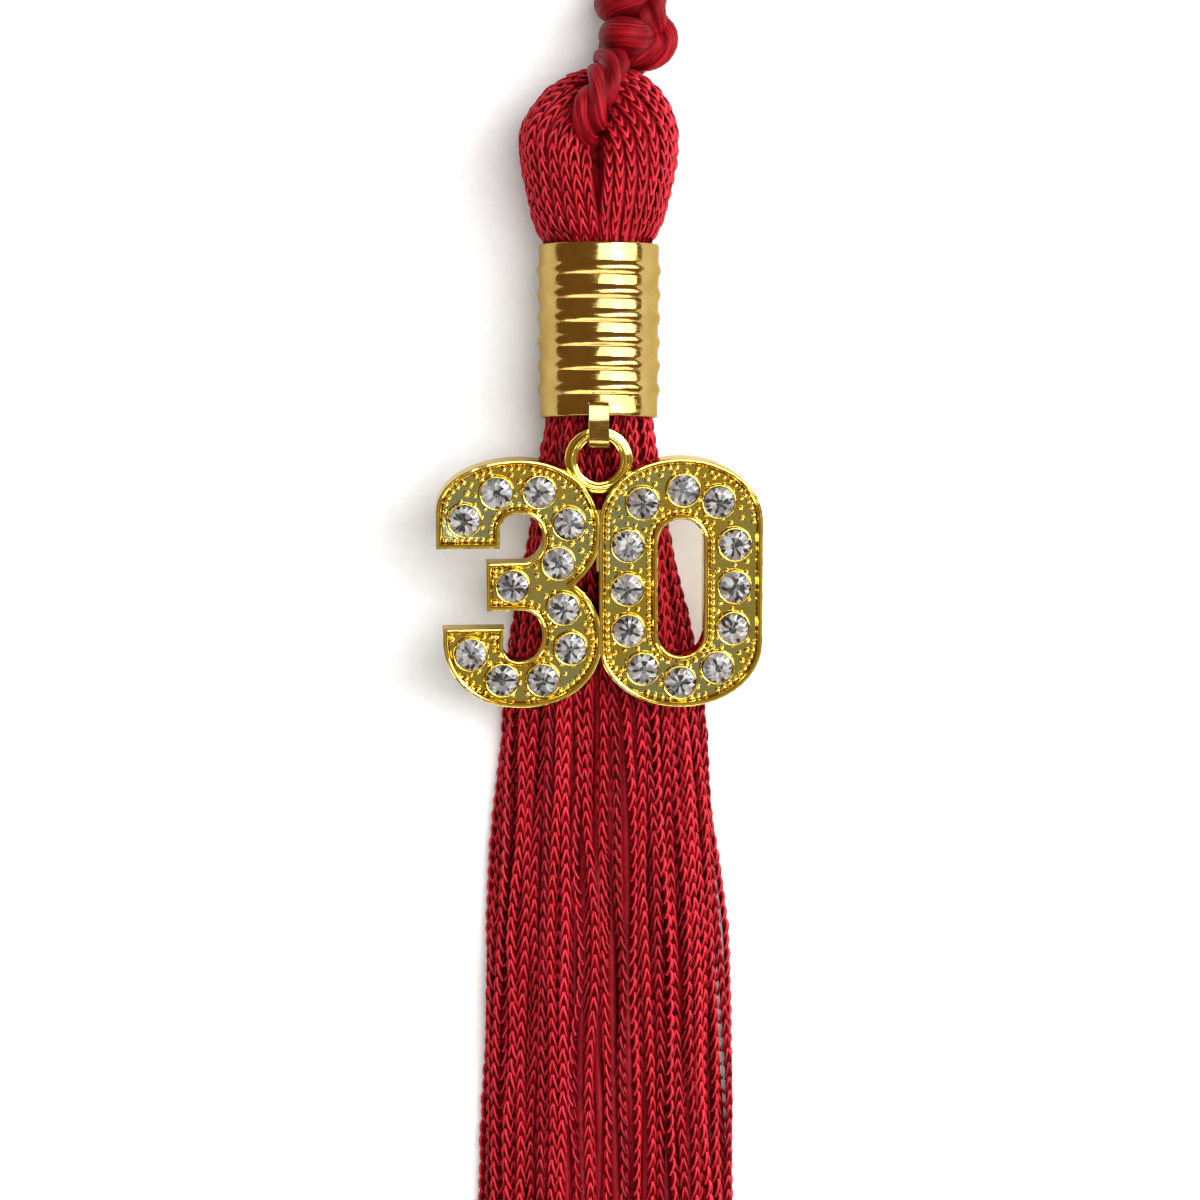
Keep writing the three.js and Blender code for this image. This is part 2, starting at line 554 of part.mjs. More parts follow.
function tassel() {
  const skein = piece('yarn_skein', skeinGeometry(), yarnRed);
  const knot = piece('knotted_cord', geometryOf(knottedCordSolid()), cordRed);
  const loop = piece('loop_cord', twistedCord(LOOP_ROUTE, CORD_RADIUS, 2), cordRed);
  const barrel = piece('barrel', barrelGeometry(), barrelGold);
  barrel.position.z = AXIS_HEIGHT;
  const hook = piece('hook_strap', hookGeometry(), barrelGold);
  hook.position.set(0, -HINGE_BELOW_MOUTH, HINGE_HEIGHT);
  const whole = new THREE.Group();
  whole.add(skein, knot, loop, barrel, hook, charmAssembly());
  // The origin is on the surface, midway between the knot's top and the longest strands' tips
  whole.position.y = (SKIRT_LENGTH - KNOT_TOP) / 2;
  return whole;
}

const group = new THREE.Group();
group.add(tassel());
export default group;
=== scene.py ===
# %% [markdown]
# # A graduation tassel
# The tassel lies on its back on a pale table. It has a skein of chain yarn that is folded over a twisted
# cord, a ribbed metal barrel that grips it, and a small gold charm on a hook, set with clear stones.
# Each cell below makes one piece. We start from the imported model, which gives the places and sizes, and
# we note its box now so that it can be compared with the finished pieces at the end.

# %% Load the frame
import math
import random

import bpy
from mathutils import Matrix, Vector
from mathutils.geometry import tessellate_polygon


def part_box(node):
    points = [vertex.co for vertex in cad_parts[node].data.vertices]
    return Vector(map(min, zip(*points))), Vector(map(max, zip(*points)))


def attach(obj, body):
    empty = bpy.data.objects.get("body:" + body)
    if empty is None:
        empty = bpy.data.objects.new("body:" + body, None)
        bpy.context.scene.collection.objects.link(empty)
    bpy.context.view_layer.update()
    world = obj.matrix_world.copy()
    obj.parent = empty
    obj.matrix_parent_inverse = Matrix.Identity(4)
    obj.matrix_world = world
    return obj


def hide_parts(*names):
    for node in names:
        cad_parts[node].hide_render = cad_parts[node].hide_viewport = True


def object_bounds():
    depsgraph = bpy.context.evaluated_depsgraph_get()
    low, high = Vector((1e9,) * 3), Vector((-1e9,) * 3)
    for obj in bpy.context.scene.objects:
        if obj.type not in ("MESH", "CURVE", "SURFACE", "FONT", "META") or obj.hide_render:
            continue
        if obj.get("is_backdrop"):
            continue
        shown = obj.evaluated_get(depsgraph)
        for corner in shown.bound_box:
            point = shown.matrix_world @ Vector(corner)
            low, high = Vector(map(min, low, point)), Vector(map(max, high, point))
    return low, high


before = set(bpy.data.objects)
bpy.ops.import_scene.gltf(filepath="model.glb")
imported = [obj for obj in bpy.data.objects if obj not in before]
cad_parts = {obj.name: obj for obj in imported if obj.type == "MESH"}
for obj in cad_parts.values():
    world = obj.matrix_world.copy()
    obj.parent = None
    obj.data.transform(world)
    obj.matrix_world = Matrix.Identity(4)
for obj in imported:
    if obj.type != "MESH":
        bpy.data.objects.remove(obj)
cad_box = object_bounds()

# %% [markdown]
# ## Places in millimetres
# A tassel is small, so its sizes are easier to read in millimetres. `at` takes a place that is measured
# from the middle of the barrel's mouth, with Y towards the cord, and returns it in metres in the scene.
# `smooth` draws a soft curve through a few points. It is a Catmull-Rom curve: it passes through every
# point, and the square root of each distance sets its pace, which keeps it from looping at close points.

# %% Places and curves
MOUTH_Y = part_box("barrel")[0].y


def at(x, y, z):
    return Vector((x, y, z)) / 1000 + Vector((0, MOUTH_Y, 0))


def smooth(points, step):
    knots = [Vector(p) for p in points]
    knots = [2 * knots[0] - knots[1], *knots, 2 * knots[-1] - knots[-2]]
    path = []
    for a, b, c, d in zip(knots, knots[1:], knots[2:], knots[3:]):
        times = [0.0]
        for p, q in ((a, b), (b, c), (c, d)):
            times.append(times[-1] + max((q - p).length, 1e-6) ** 0.5)
        ta, tb, tc, td = times
        count = max(1, round((c - b).length / step))
        for k in range(count):
            t = tb + (tc - tb) * k / count
            ab = a.lerp(b, (t - ta) / (tb - ta))
            bc = b.lerp(c, (t - tb) / (tc - tb))
            cd = c.lerp(d, (t - tc) / (td - tc))
            abc = ab.lerp(bc, (t - ta) / (tc - ta))
            bcd = bc.lerp(cd, (t - tb) / (td - tb))
            path.append(abc.lerp(bcd, (t - tb) / (tc - tb)))
    return path + [knots[-2]]


def directions(points):
    """The direction of a path at each of its points, from the point behind to the point ahead."""
    last = len(points) - 1
    return [(points[min(i + 1, last)] - points[max(i - 1, 0)]).normalized() for i in range(last + 1)]


def full_turn(count):
    return [2 * math.pi * k / count for k in range(count)]


print("the barrel's mouth is at y =", round(MOUTH_Y, 5), "m")

# %% [markdown]
# ## Rows of points
# Most hard pieces are rows of points with faces between them. A tube is one outline repeated along a
# line, and a turned piece is one profile repeated round an axis. `skin` makes the faces. The order of a
# face's corners decides which side looks outwards, so `skin` takes that order as `corners`. `modelled`
# puts points and faces in the scene as one piece with its finishes.

# %% Mesh helpers
OUTWARDS, TURNED_OVER = (0, 1, 2, 3), (0, 3, 2, 1)


def skin(rows, size, corners=OUTWARDS, first=0, rows_close=False, size_closes=True):
    """Four-sided faces between rows of points, `size` points in each row, that are in one list."""
    faces = []
    for r in range(rows if rows_close else rows - 1):
        for k in range(size if size_closes else size - 1):
            here, there = first + r * size, first + (r + 1) % rows * size
            quad = (here + k, here + (k + 1) % size, there + (k + 1) % size, there + k)
            faces.append(tuple(quad[c] for c in corners))
    return faces


def linked(name, data):
    thing = bpy.data.objects.new(name, data)
    bpy.context.scene.collection.objects.link(thing)
    return thing


def modelled(name, points, faces, *finishes, soft=False, sharp_from=None):
    """A piece made of points and faces. Soft faces look round, but for edges sharper than sharp_from."""
    mesh = bpy.data.meshes.new(name)
    mesh.from_pydata(points, [], faces)
    for finish in finishes:
        mesh.materials.append(finish)
    mesh.polygons.foreach_set("use_smooth", [soft or sharp_from is not None] * len(faces))
    if sharp_from is not None:
        mesh.set_sharp_from_angle(angle=math.radians(sharp_from))
    print(f"{name}: {len(faces)} faces")
    return linked(name, mesh)


print("a tube of 3 rows of 4 points has", len(skin(3, 4)), "faces")

# %% [markdown]
# ## The camera
# The photograph looks straight down on the table. It shows a square of 111 mm at the height of the
# charm's face, so a camera 450 mm above it with a narrow lens gives the same view. A narrow lens from
# far away keeps the barrel's sides out of sight, as they are in the photograph.

# %% Camera
VIEW_CENTRE = Vector((0.0001, 0.06126, 0.006))
CAMERA_DISTANCE = 0.45
VIEW_WIDTH = 0.111

camera_data = bpy.data.cameras.new("overhead_camera")
camera_data.sensor_width = 36
camera_data.lens = 36 * CAMERA_DISTANCE / VIEW_WIDTH
camera_data.clip_start = 0.01
camera = linked("overhead_camera", camera_data)
camera.location = VIEW_CENTRE + Vector((0, 0, CAMERA_DISTANCE))
bpy.context.scene.camera = camera
print("lens:", round(camera_data.lens, 1), "mm")

# %% [markdown]
# ## Node trees in a few lines
# Yarn, cord and beads repeat one small shape many times, so Geometry Nodes make them: change one number
# and the whole strand follows. `add` makes a node and connects its inputs. `recipe` starts a tree with
# named sizes, `serve` ends it, and `grown` runs it on a mesh of paths and keeps the result as a plain
# mesh. `path_mesh` makes that mesh of paths, with the numbers that a tree reads at each of its points. The
# helpers from `math_node` to `swept` are steps that more than one tree needs.

# %% Node helpers
def add(tree, kind, inputs=None, **settings):
    node = tree.nodes.new(kind)
    for name, value in settings.items():
        setattr(node, name, value)
    for name, value in (inputs or {}).items():
        if isinstance(value, bpy.types.NodeSocket):
            tree.links.new(value, node.inputs[name])
        else:
            node.inputs[name].default_value = value
    return node


def recipe(name, sizes):
    tree = bpy.data.node_groups.new(name, "GeometryNodeTree")
    tree.interface.new_socket("Paths", in_out="INPUT", socket_type="NodeSocketGeometry")
    for label, value in sizes.items():
        kind = "NodeSocketInt" if isinstance(value, int) else "NodeSocketFloat"
        socket = tree.interface.new_socket(label, in_out="INPUT", socket_type=kind)
        socket.default_value = value
    tree.interface.new_socket("Finish", in_out="INPUT", socket_type="NodeSocketMaterial")
    tree.interface.new_socket("Piece", in_out="OUTPUT", socket_type="NodeSocketGeometry")
    return tree, tree.nodes.new("NodeGroupInput").outputs


def serve(tree, start, geometry, where=True):
    realized = add(tree, "GeometryNodeRealizeInstances", {"Geometry": geometry})
    soft = add(tree, "GeometryNodeSetShadeSmooth", {"Geometry": realized.outputs[0]})
    painted = add(tree, "GeometryNodeSetMaterial", {
        "Geometry": soft.outputs[0], "Selection": where, "Material": start["Finish"]})
    end = tree.nodes.new("NodeGroupOutput")
    tree.links.new(painted.outputs[0], end.inputs[0])
    print("tree:", tree.name, "with", len(tree.nodes), "nodes")
    return tree


def math_node(tree, operation, a, b=0.0, c=0.0):
    return add(tree, "ShaderNodeMath", {0: a, 1: b, 2: c}, operation=operation).outputs[0]


def store(tree, geometry, name, value, kind="FLOAT"):
    return add(tree, "GeometryNodeStoreNamedAttribute", {"Geometry": geometry, "Name": name, "Value": value},
               data_type=kind, domain="POINT").outputs[0]


def stored(tree, name, kind="FLOAT"):
    return add(tree, "GeometryNodeInputNamedAttribute", {"Name": name}, data_type=kind).outputs[0]


def by_chance(tree, low, high, seed=0):
    vector = isinstance(low, tuple)
    first = 0 if vector else 2
    node = add(tree, "FunctionNodeRandomValue", {first: low, first + 1: high, "Seed": seed},
               data_type="FLOAT_VECTOR" if vector else "FLOAT")
    return node.outputs[0 if vector else 1]


def joined(tree, *parts):
    node = tree.nodes.new("GeometryNodeJoinGeometry")
    for part in parts:
        tree.links.new(part, node.inputs[0])
    return node.outputs[0]


def as_curves(tree, start):
    return add(tree, "GeometryNodeMeshToCurve", {"Mesh": start["Paths"]}).outputs[0]


def resampled(tree, curve, length):
    cut = add(tree, "GeometryNodeResampleCurve", {"Curve": curve, "Length": length}, mode="LENGTH")
    return cut.outputs[0]


def scaled(tree, geometry, x, y, z):
    size = add(tree, "ShaderNodeCombineXYZ", {0: x, 1: y, 2: z})
    return add(tree, "GeometryNodeTransform", {"Geometry": geometry, "Scale": size.outputs[0]}).outputs[0]


def marked_circle(tree, sides):
    """A circle of radius 1 whose points remember where round it they are."""
    circle = add(tree, "GeometryNodeCurvePrimitiveCircle", {"Resolution": sides, "Radius": 1.0})
    place = add(tree, "GeometryNodeInputPosition").outputs[0]
    return store(tree, circle.outputs[0], "around", place, "FLOAT_VECTOR")


def swept(tree, curve, profile, **options):
    inputs = {"Curve": curve, "Profile Curve": profile}
    inputs.update({label.replace("_", " "): value for label, value in options.items()})
    return add(tree, "GeometryNodeCurveToMesh", inputs).outputs[0]


def grown(name, mesh, tree, finish, **sizes):
    piece = linked(name, mesh)
    modifier = piece.modifiers.new("recipe", "NODES")
    modifier.node_group = tree
    for socket in tree.interface.items_tree:
        label = socket.name.lower().replace(" ", "_")
        if socket.in_out == "INPUT" and label == "finish":
            modifier[socket.identifier] = finish
        elif socket.in_out == "INPUT" and label in sizes:
            modifier[socket.identifier] = sizes[label]
    evaluated = piece.evaluated_get(bpy.context.evaluated_depsgraph_get())
    made = bpy.data.meshes.new_from_object(evaluated)
    piece.modifiers.remove(modifier)
    piece.data = made
    triangles = sum(len(face.vertices) - 2 for face in made.polygons)
    print(f"{name}: {triangles} triangles")
    return piece


def path_mesh(name, runs):
    """Each run is a dict with points, and a list or one value for each of its attributes."""
    mesh = bpy.data.meshes.new(name)
    points, edges = [], []
    for run in runs:
        first = len(points)
        points += run["points"]
        edges += [(i, i + 1) for i in range(first, len(points) - 1)]
    mesh.from_pydata(points, edges, [])
    for label in runs[0]:
        if label == "points":
            continue
        values = []
        for run in runs:
            value = run[label]
            values += value if isinstance(value, list) else [value] * len(run["points"])
        kind = "FLOAT_VECTOR" if isinstance(values[0], Vector) else "FLOAT"
        field = mesh.attributes.new(label, kind, "POINT")
        if kind == "FLOAT":
            field.data.foreach_set("value", values)
        else:
            field.data.foreach_set("vector", [n for v in values for n in v])
    return mesh


print("node helpers are ready")

# %% [markdown]
# ## Finishes in a few lines
# A finish is a Principled shader whose colour and small bumps come from noise. Noise that reads the
# object's own coordinates stays on a piece when it moves. `thread_place` is for yarn and cord: it joins
# the place round a thread and the place along it, which the trees store, so that noise can be stretched
# along the thread.

# %% Finish helpers
def finish_of(name, roughness, metallic=0.0, **sockets):
    material = bpy.data.materials.new(name)
    material.use_nodes = True
    tree = material.node_tree
    shader = tree.nodes["Principled BSDF"]
    shader.inputs["Roughness"].default_value = roughness
    shader.inputs["Metallic"].default_value = metallic
    for label, value in sockets.items():
        shader.inputs[label.replace("_", " ")].default_value = value
    return material, tree, shader


def own_place(tree):
    return add(tree, "ShaderNodeTexCoord").outputs["Object"]


def noise(tree, place, scale, detail):
    return add(tree, "ShaderNodeTexNoise", {"Vector": place, "Scale": scale, "Detail": detail}).outputs[0]


def ramp(tree, factor, stops):
    node = add(tree, "ShaderNodeValToRGB", {"Fac": factor})
    elements = node.color_ramp.elements
    while len(elements) < len(stops):
        elements.new(0.5)
    for element, (place, color) in zip(elements, stops):
        element.position = place
        element.color = (*color, 1)
    return node.outputs["Color"]


def bump(tree, height, strength, distance, under=None):
    node = add(tree, "ShaderNodeBump", {"Height": height, "Strength": strength, "Distance": distance})
    if under:
        tree.links.new(under, node.inputs["Normal"])
    return node.outputs["Normal"]


def dress(tree, shader, color, normal=None):
    tree.links.new(color, shader.inputs["Base Color"])
    if normal:
        tree.links.new(normal, shader.inputs["Normal"])


def number(tree, label):
    return add(tree, "ShaderNodeAttribute", attribute_name=label).outputs["Fac"]


def thread_place(tree, times_round, times_along):
    around = add(tree, "ShaderNodeAttribute", attribute_name="around").outputs["Vector"]
    part = add(tree, "ShaderNodeSeparateXYZ", {0: around})
    return add(tree, "ShaderNodeCombineXYZ", {
        0: math_node(tree, "MULTIPLY", part.outputs[0], times_round),
        1: math_node(tree, "MULTIPLY", part.outputs[1], times_round),
        2: math_node(tree, "MULTIPLY", number(tree, "along"), times_along)}).outputs[0]


print("finish helpers are ready")

# %% [markdown]
# ## Cord finish
# The cord is rayon: smooth, shiny, and dyed deep red. Each ply shows fine silky streaks that run with its
# twist. The cord's tree stores how far along and how far round each point is, and a noise that is
# stretched along those numbers gives the streaks. They are partly a small bump and partly painted sheen:
# bright and dark lines in the colour that stand in for the satin's shine. They follow every bend and stay
# on the cord when it moves. A second, wide noise keeps the dye from looking flat. The knot's wraps are
# given a darker tone, as painted shade.

# %% Satin cord
CORD_DYE_SHEEN_AND_SHADE = [(0.33, (0.06, 0.0008, 0.0016)), (0.5, (0.175, 0.0028, 0.0055)), (0.67, (0.5, 0.0115, 0.024))]

satin_cord, tree, shader = finish_of("satin_cord", 0.46, Specular_IOR_Level=0.11)
shader.inputs["Specular Tint"].default_value = (1.0, 0.34, 0.4, 1)
# Painted sheen: streaks along the plies brighten and darken the colour, and also give a small bump.
sheen_streaks = noise(tree, thread_place(tree, 9.0, 420.0), 1.0, 4.0)
dye = noise(tree, own_place(tree), 300.0, 2.0)
dye_sheen_and_shade = math_node(tree, "ADD", math_node(tree, "MULTIPLY", sheen_streaks, 0.75),
                  math_node(tree, "MULTIPLY", dye, 0.25))
# Painted shade: the knot's wraps store a value that darkens them.
dye_sheen_and_shade = math_node(tree, "SUBTRACT", dye_sheen_and_shade, number(tree, "shade"))
dress(tree, shader, ramp(tree, dye_sheen_and_shade, CORD_DYE_SHEEN_AND_SHADE), bump(tree, sheen_streaks, 0.6, 0.00016))
print("finish:", satin_cord.name)

# %% [markdown]
# ## The cord's tree
# A twisted cord is a few plies side by side that turn round each other. Swept along the cord's path, the
# outline of overlapping circles gives all plies at once, and turning the outline steadily gives the
# twist. Geometry Nodes do this with a tilt that grows with the length, so the twist keeps its pitch
# round every bend. The outline is a circle whose radius depends on the angle to the nearest ply's
# middle. The turn is left-handed, as it is in the photograph.

# %% Twisted cord tree
TURN_BACK = -2 * math.pi
OUTLINE_SIDES = 30

tree, start = recipe("twisted_cord", {
    "Plies": 3, "Ply radius": 0.00102, "Ply offset": 0.0005, "Pitch": 0.010, "First turn": 0.0,
    "Step": 0.0004})
fine = resampled(tree, as_curves(tree, start), start["Step"])
length = add(tree, "GeometryNodeSplineParameter").outputs["Length"]
turns = math_node(tree, "ADD", math_node(tree, "DIVIDE", length, start["Pitch"]), start["First turn"])
twisted = add(tree, "GeometryNodeSetCurveTilt", {
    "Curve": store(tree, fine, "along", length), "Tilt": math_node(tree, "MULTIPLY", turns, TURN_BACK)})
unit = add(tree, "GeometryNodeInputPosition").outputs[0]
part = add(tree, "ShaderNodeSeparateXYZ", {0: unit})
ply_angle = math_node(tree, "DIVIDE", 2 * math.pi, start["Plies"])
angle = math_node(tree, "ARCTAN2", part.outputs[1], part.outputs[0])
nearest = math_node(tree, "SUBTRACT", math_node(tree, "FLOORED_MODULO", angle, ply_angle),
                    math_node(tree, "MULTIPLY", ply_angle, 0.5))
offset, radius = start["Ply offset"], start["Ply radius"]
side = math_node(tree, "MULTIPLY", math_node(tree, "COSINE", nearest), offset)
rise = math_node(tree, "MULTIPLY", math_node(tree, "SINE", nearest), offset)
inside = math_node(tree, "SUBTRACT", math_node(tree, "MULTIPLY", radius, radius),
                   math_node(tree, "MULTIPLY", rise, rise))
reach = math_node(tree, "ADD", side, math_node(tree, "SQRT", inside))
outline = add(tree, "GeometryNodeSetPosition", {
    "Geometry": marked_circle(tree, OUTLINE_SIDES),
    "Position": add(tree, "ShaderNodeVectorMath", {0: unit, "Scale": reach}, operation="SCALE").outputs[0]})
cord_tree = serve(tree, start, swept(tree, twisted.outputs[0], outline.outputs[0], Fill_Caps=True))

# %% [markdown]
# ## The loop cord
# The loop goes over the button of a graduation cap. The photograph stops at the knot, so the loop is a
# plain closed one on the table.

# %% Loop cord
LOOP_Z = 1.58
LOOP_ROUTE = [
    (4.8, 40.1, 2.1), (4.95, 43.4, 1.75), (5.6, 49, LOOP_Z), (6.6, 58, LOOP_Z), (7.6, 70, LOOP_Z),
    (8.3, 82, LOOP_Z), (8.8, 94, LOOP_Z), (9.1, 104, LOOP_Z), (8.7, 112, LOOP_Z), (6.8, 118.4, LOOP_Z),
    (3.0, 122.2, LOOP_Z), (-1.4, 121.8, LOOP_Z), (-4.7, 117.9, LOOP_Z), (-5.8, 111, LOOP_Z),
    (-5.2, 102, LOOP_Z), (-4.0, 92, LOOP_Z), (-2.7, 80, LOOP_Z), (-1.5, 68, LOOP_Z), (-0.4, 57, LOOP_Z),
    (0.5, 49, LOOP_Z), (1.05, 43.4, 1.75), (1.2, 40.1, 2.1)]

loop_points = [at(*p) for p in LOOP_ROUTE]
loop_path = smooth(loop_points, 0.001)
loop_mesh = path_mesh("cap_loop_cord", [{"points": loop_path}])
loop_cord = grown("cap_loop_cord", loop_mesh, cord_tree, satin_cord)
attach(loop_cord, "tassel")
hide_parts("loop_cord")

# %% [markdown]
# ## The table
# The photograph has a white ground. A matt white table gives the pale reflections low on both sides of
# the metal, and a little grain keeps it from looking like a computer's white.

# %% Table
TABLE_HALF = 3

scene = bpy.context.scene
scene.view_settings.view_transform = "Standard"
paper, tree, shader = finish_of("table_paper", 0.9)
grain = noise(tree, own_place(tree), 900.0, 3.0)
dress(tree, shader, ramp(tree, grain, [(0.3, (0.86, 0.86, 0.86)), (0.7, (0.9, 0.9, 0.9))]),
      bump(tree, grain, 0.05, 0.0002))
table_corners = [(x * TABLE_HALF, y * TABLE_HALF, 0) for x, y in ((-1, -1), (1, -1), (1, 1), (-1, 1))]
table_top = modelled("table_top", table_corners, [(0, 1, 2, 3)], paper)
table_top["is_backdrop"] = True

# %% [markdown]
# ## Lights and room
# One wide soft light from above and from the right lights the cloth. A weak one on the left opens the
# shadows, and metal doesn't mirror it. A small bright panel inside the soft light is only seen in mirrors:
# it gives the charm its sparks. Metal also needs a room to reflect, and the barrel shows it as bands: warm
# and dark walls on the left, a paler ceiling on the right, and a narrow bright window in front, which
# draws the thin line under each rib. Cloth gets an even grey in its place, so the room's colour does not
# reach it, and the camera sees plain pale grey past the table's edge.

# %% Lights and world
LIT_PLACE = Vector((0, 0.06, 0))


def soft_light(name, aim, distance, width, height, power):
    data = bpy.data.lights.new(name, "AREA")
    data.shape = "RECTANGLE"
    data.size, data.size_y, data.energy = width, height, power
    light = linked(name, data)
    direction = Vector(aim).normalized()
    light.location = LIT_PLACE + direction * distance
    light.rotation_mode = "QUATERNION"
    light.rotation_quaternion = (-direction).to_track_quat("-Z", "Y")
    return light


soft_light("key_softbox", (0.77, 0.2, 1.0), 1.2, 0.8, 1.84, 29)
left_fill = soft_light("left_fill", (-1.0, -0.2, 0.9), 1.2, 1.2, 1.2, 2.5)
left_fill.visible_glossy = False
sparkle = soft_light("sparkle_panel", (0.77, 0.35, 1.0), 1.15, 0.3, 0.4, 14)
sparkle.visible_diffuse = False

world = bpy.data.worlds.new("studio")
scene.world = world
world.use_nodes = True
tree = world.node_tree
tree.nodes.clear()
sky = add(tree, "ShaderNodeTexCoord").outputs["Generated"]
direction = add(tree, "ShaderNodeSeparateXYZ", {0: sky}).outputs


def between(value, dark, bright):
    return add(tree, "ShaderNodeMapRange", {"Value": value, "From Min": dark, "From Max": bright}).outputs[0]


def background(color):
    return add(tree, "ShaderNodeBackground", {"Color": color, "Strength": 1.0}).outputs[0]


def either(when, first, second):
    return add(tree, "ShaderNodeMixShader", {0: when, 1: first, 2: second}).outputs[0]


ceiling = math_node(tree, "MULTIPLY", between(direction[2], 0.8, 0.88), between(direction[0], -0.12, -0.02))
room = ramp(tree, ceiling, [(0.0, (0.33, 0.19, 0.07)), (1.0, (0.5, 0.48, 0.4))])
window = math_node(tree, "MULTIPLY", between(direction[1], -0.55, -0.59),
                   between(direction[1], -0.74, -0.69))
walls = add(tree, "ShaderNodeMix", {0: window, 6: room, 7: (4.4, 4.2, 3.9, 1)}, data_type="RGBA").outputs[2]
rays = add(tree, "ShaderNodeLightPath").outputs
felt = either(rays["Is Diffuse Ray"], background(walls), background((0.36, 0.36, 0.36, 1)))
shown = either(rays["Is Camera Ray"], felt, background((0.82, 0.83, 0.84, 1)))
add(tree, "ShaderNodeOutputWorld", {"Surface": shown})
print("table and lights are in place")

# %% [markdown]
# ## Yarn finish
# Chain yarn is a fine rayon thread that is looped into a tiny chain. It has bright pink-red lights on the
# loops and almost black holes between them. The tree stores numbers that the finish reads. A tone for each
# strand is a little different for each, and lower, as painted shade, for strands that lie under others. A
# number that rises where a loop dives under the next is painted darker as shade. The place round and along
# the thread carries the fine fibre streaks. Link-sized noise patches vary the tone and partly stand in for
# loops that catch the light, a painted highlight. A second finish is matt and darker: painted shade. It goes
# on what lies under the loops, because yarn in shadow has no shine and looks dark.

# %% Chain yarn and yarn shadow
FIBRES_ROUND, FIBRES_ALONG, FIBRES_ACROSS = 3.0, 1500.0, 600.0
FIBRE_SHARE, PATCH_AND_SPARKLE_SHARE, STRAND_SHARE, TUCK_SHADE_SHARE, DARKENED_BY = 0.35, 0.6, 0.45, -0.4, 0.15

chain_yarn, tree, shader = finish_of("chain_yarn", 0.45, Specular_IOR_Level=0.4)
shader.inputs["Specular Tint"].default_value = (1.0, 0.38, 0.46, 1)
place = own_place(tree)
spread = add(tree, "ShaderNodeVectorMath", {0: place, 1: (FIBRES_ACROSS,) * 3}, operation="MULTIPLY")
own = add(tree, "ShaderNodeVectorMath", {
    0: thread_place(tree, FIBRES_ROUND, FIBRES_ALONG), 1: spread.outputs[0]}, operation="ADD")
fibres = noise(tree, own.outputs[0], 1.0, 3.0)
tone = math_node(tree, "MULTIPLY", fibres, FIBRE_SHARE)
# Link-sized patches: random tone, and partly a painted highlight where loops catch the light.
tone = math_node(tree, "MULTIPLY_ADD", noise(tree, place, 900.0, 3.0), PATCH_AND_SPARKLE_SHARE, tone)
tone = math_node(tree, "SUBTRACT", tone, DARKENED_BY)
tone = math_node(tree, "MULTIPLY_ADD", number(tree, "shade"), STRAND_SHARE, tone)
# Painted shade: the colour darkens where a loop dives under the next.
tone = math_node(tree, "MULTIPLY_ADD", number(tree, "tuck_shade"), TUCK_SHADE_SHARE, tone)
dress(tree, shader, ramp(tree, tone, [(0.0, (0.09, 0.001, 0.002)), (0.25, (0.34, 0.006, 0.012)),
                                      (0.5, (0.53, 0.012, 0.022)), (0.8, (0.66, 0.024, 0.042))]),
      bump(tree, fibres, 0.45, 0.00008))

# Painted shade: a matt, near-black red for the cores under the yarn, which lie in shadow.
yarn_shadow, tree, shader = finish_of("yarn_shadow", 1.0, Specular_IOR_Level=0.0)
fluff = noise(tree, own_place(tree), 1200.0, 3.0)
dress(tree, shader, ramp(tree, fluff, [(0.35, (0.05, 0.0012, 0.0022)), (0.65, (0.16, 0.0038, 0.007))]))
print("finishes:", chain_yarn.name, yarn_shadow.name)

# %% [markdown]
# ## The chain yarn's tree
# Each link of the chain is a small arch: two plump legs leave the top, spread round a hole and tuck under
# the next link. One leg is a Bezier curve swept with a small circle, and its mirror image is the other. Each
# leg stores a number that rises towards where it tucks under, which the finish paints darker as shade. The
# tree cuts each strand's path into pieces one stitch long, puts a link on every cut, and turns it with two
# stored directions: `way`, along the strand, and `front`, the side that the arch faces. Each link is a
# little wider or narrower than the next and sways a little, because no hand-fed machine pulls its loops
# alike. A thin core, painted dark as shade, keeps the chain from being see-through.

# %% Chain yarn tree
LEG_POINTS = {"Start": (0.02, 0.16, 0.05), "Start Handle": (0.1, -0.2, 0.5),
              "End Handle": (0.56, -0.55, 0.42), "End": (0.5, -1.16, -0.3)}
LEG_STEPS, THREAD_SIDES, CORE_SIDES_OF_YARN, CORE_STEP = 4, 5, 4, 0.003
THIN_END, SWELLING = 0.4, 0.62
LINK_WIDTHS = (0.92, 1.1)
SWAY = (0.04, 0.14, 0.05)
CORE_MARK = 2.0

tree, start = recipe("chain_yarn", {
    "Stitch": 0.00132, "Yarn width": 0.00068, "Thread radius": 0.0003, "Core radius": 0.00024, "Seed": 4})
paths = as_curves(tree, start)
leg = add(tree, "GeometryNodeCurvePrimitiveBezierSegment", {"Resolution": LEG_STEPS, **LEG_POINTS},
          mode="POSITION")
sized_leg = scaled(tree, leg.outputs[0], start["Yarn width"], start["Stitch"], start["Yarn width"])
leg_part = add(tree, "GeometryNodeSplineParameter").outputs
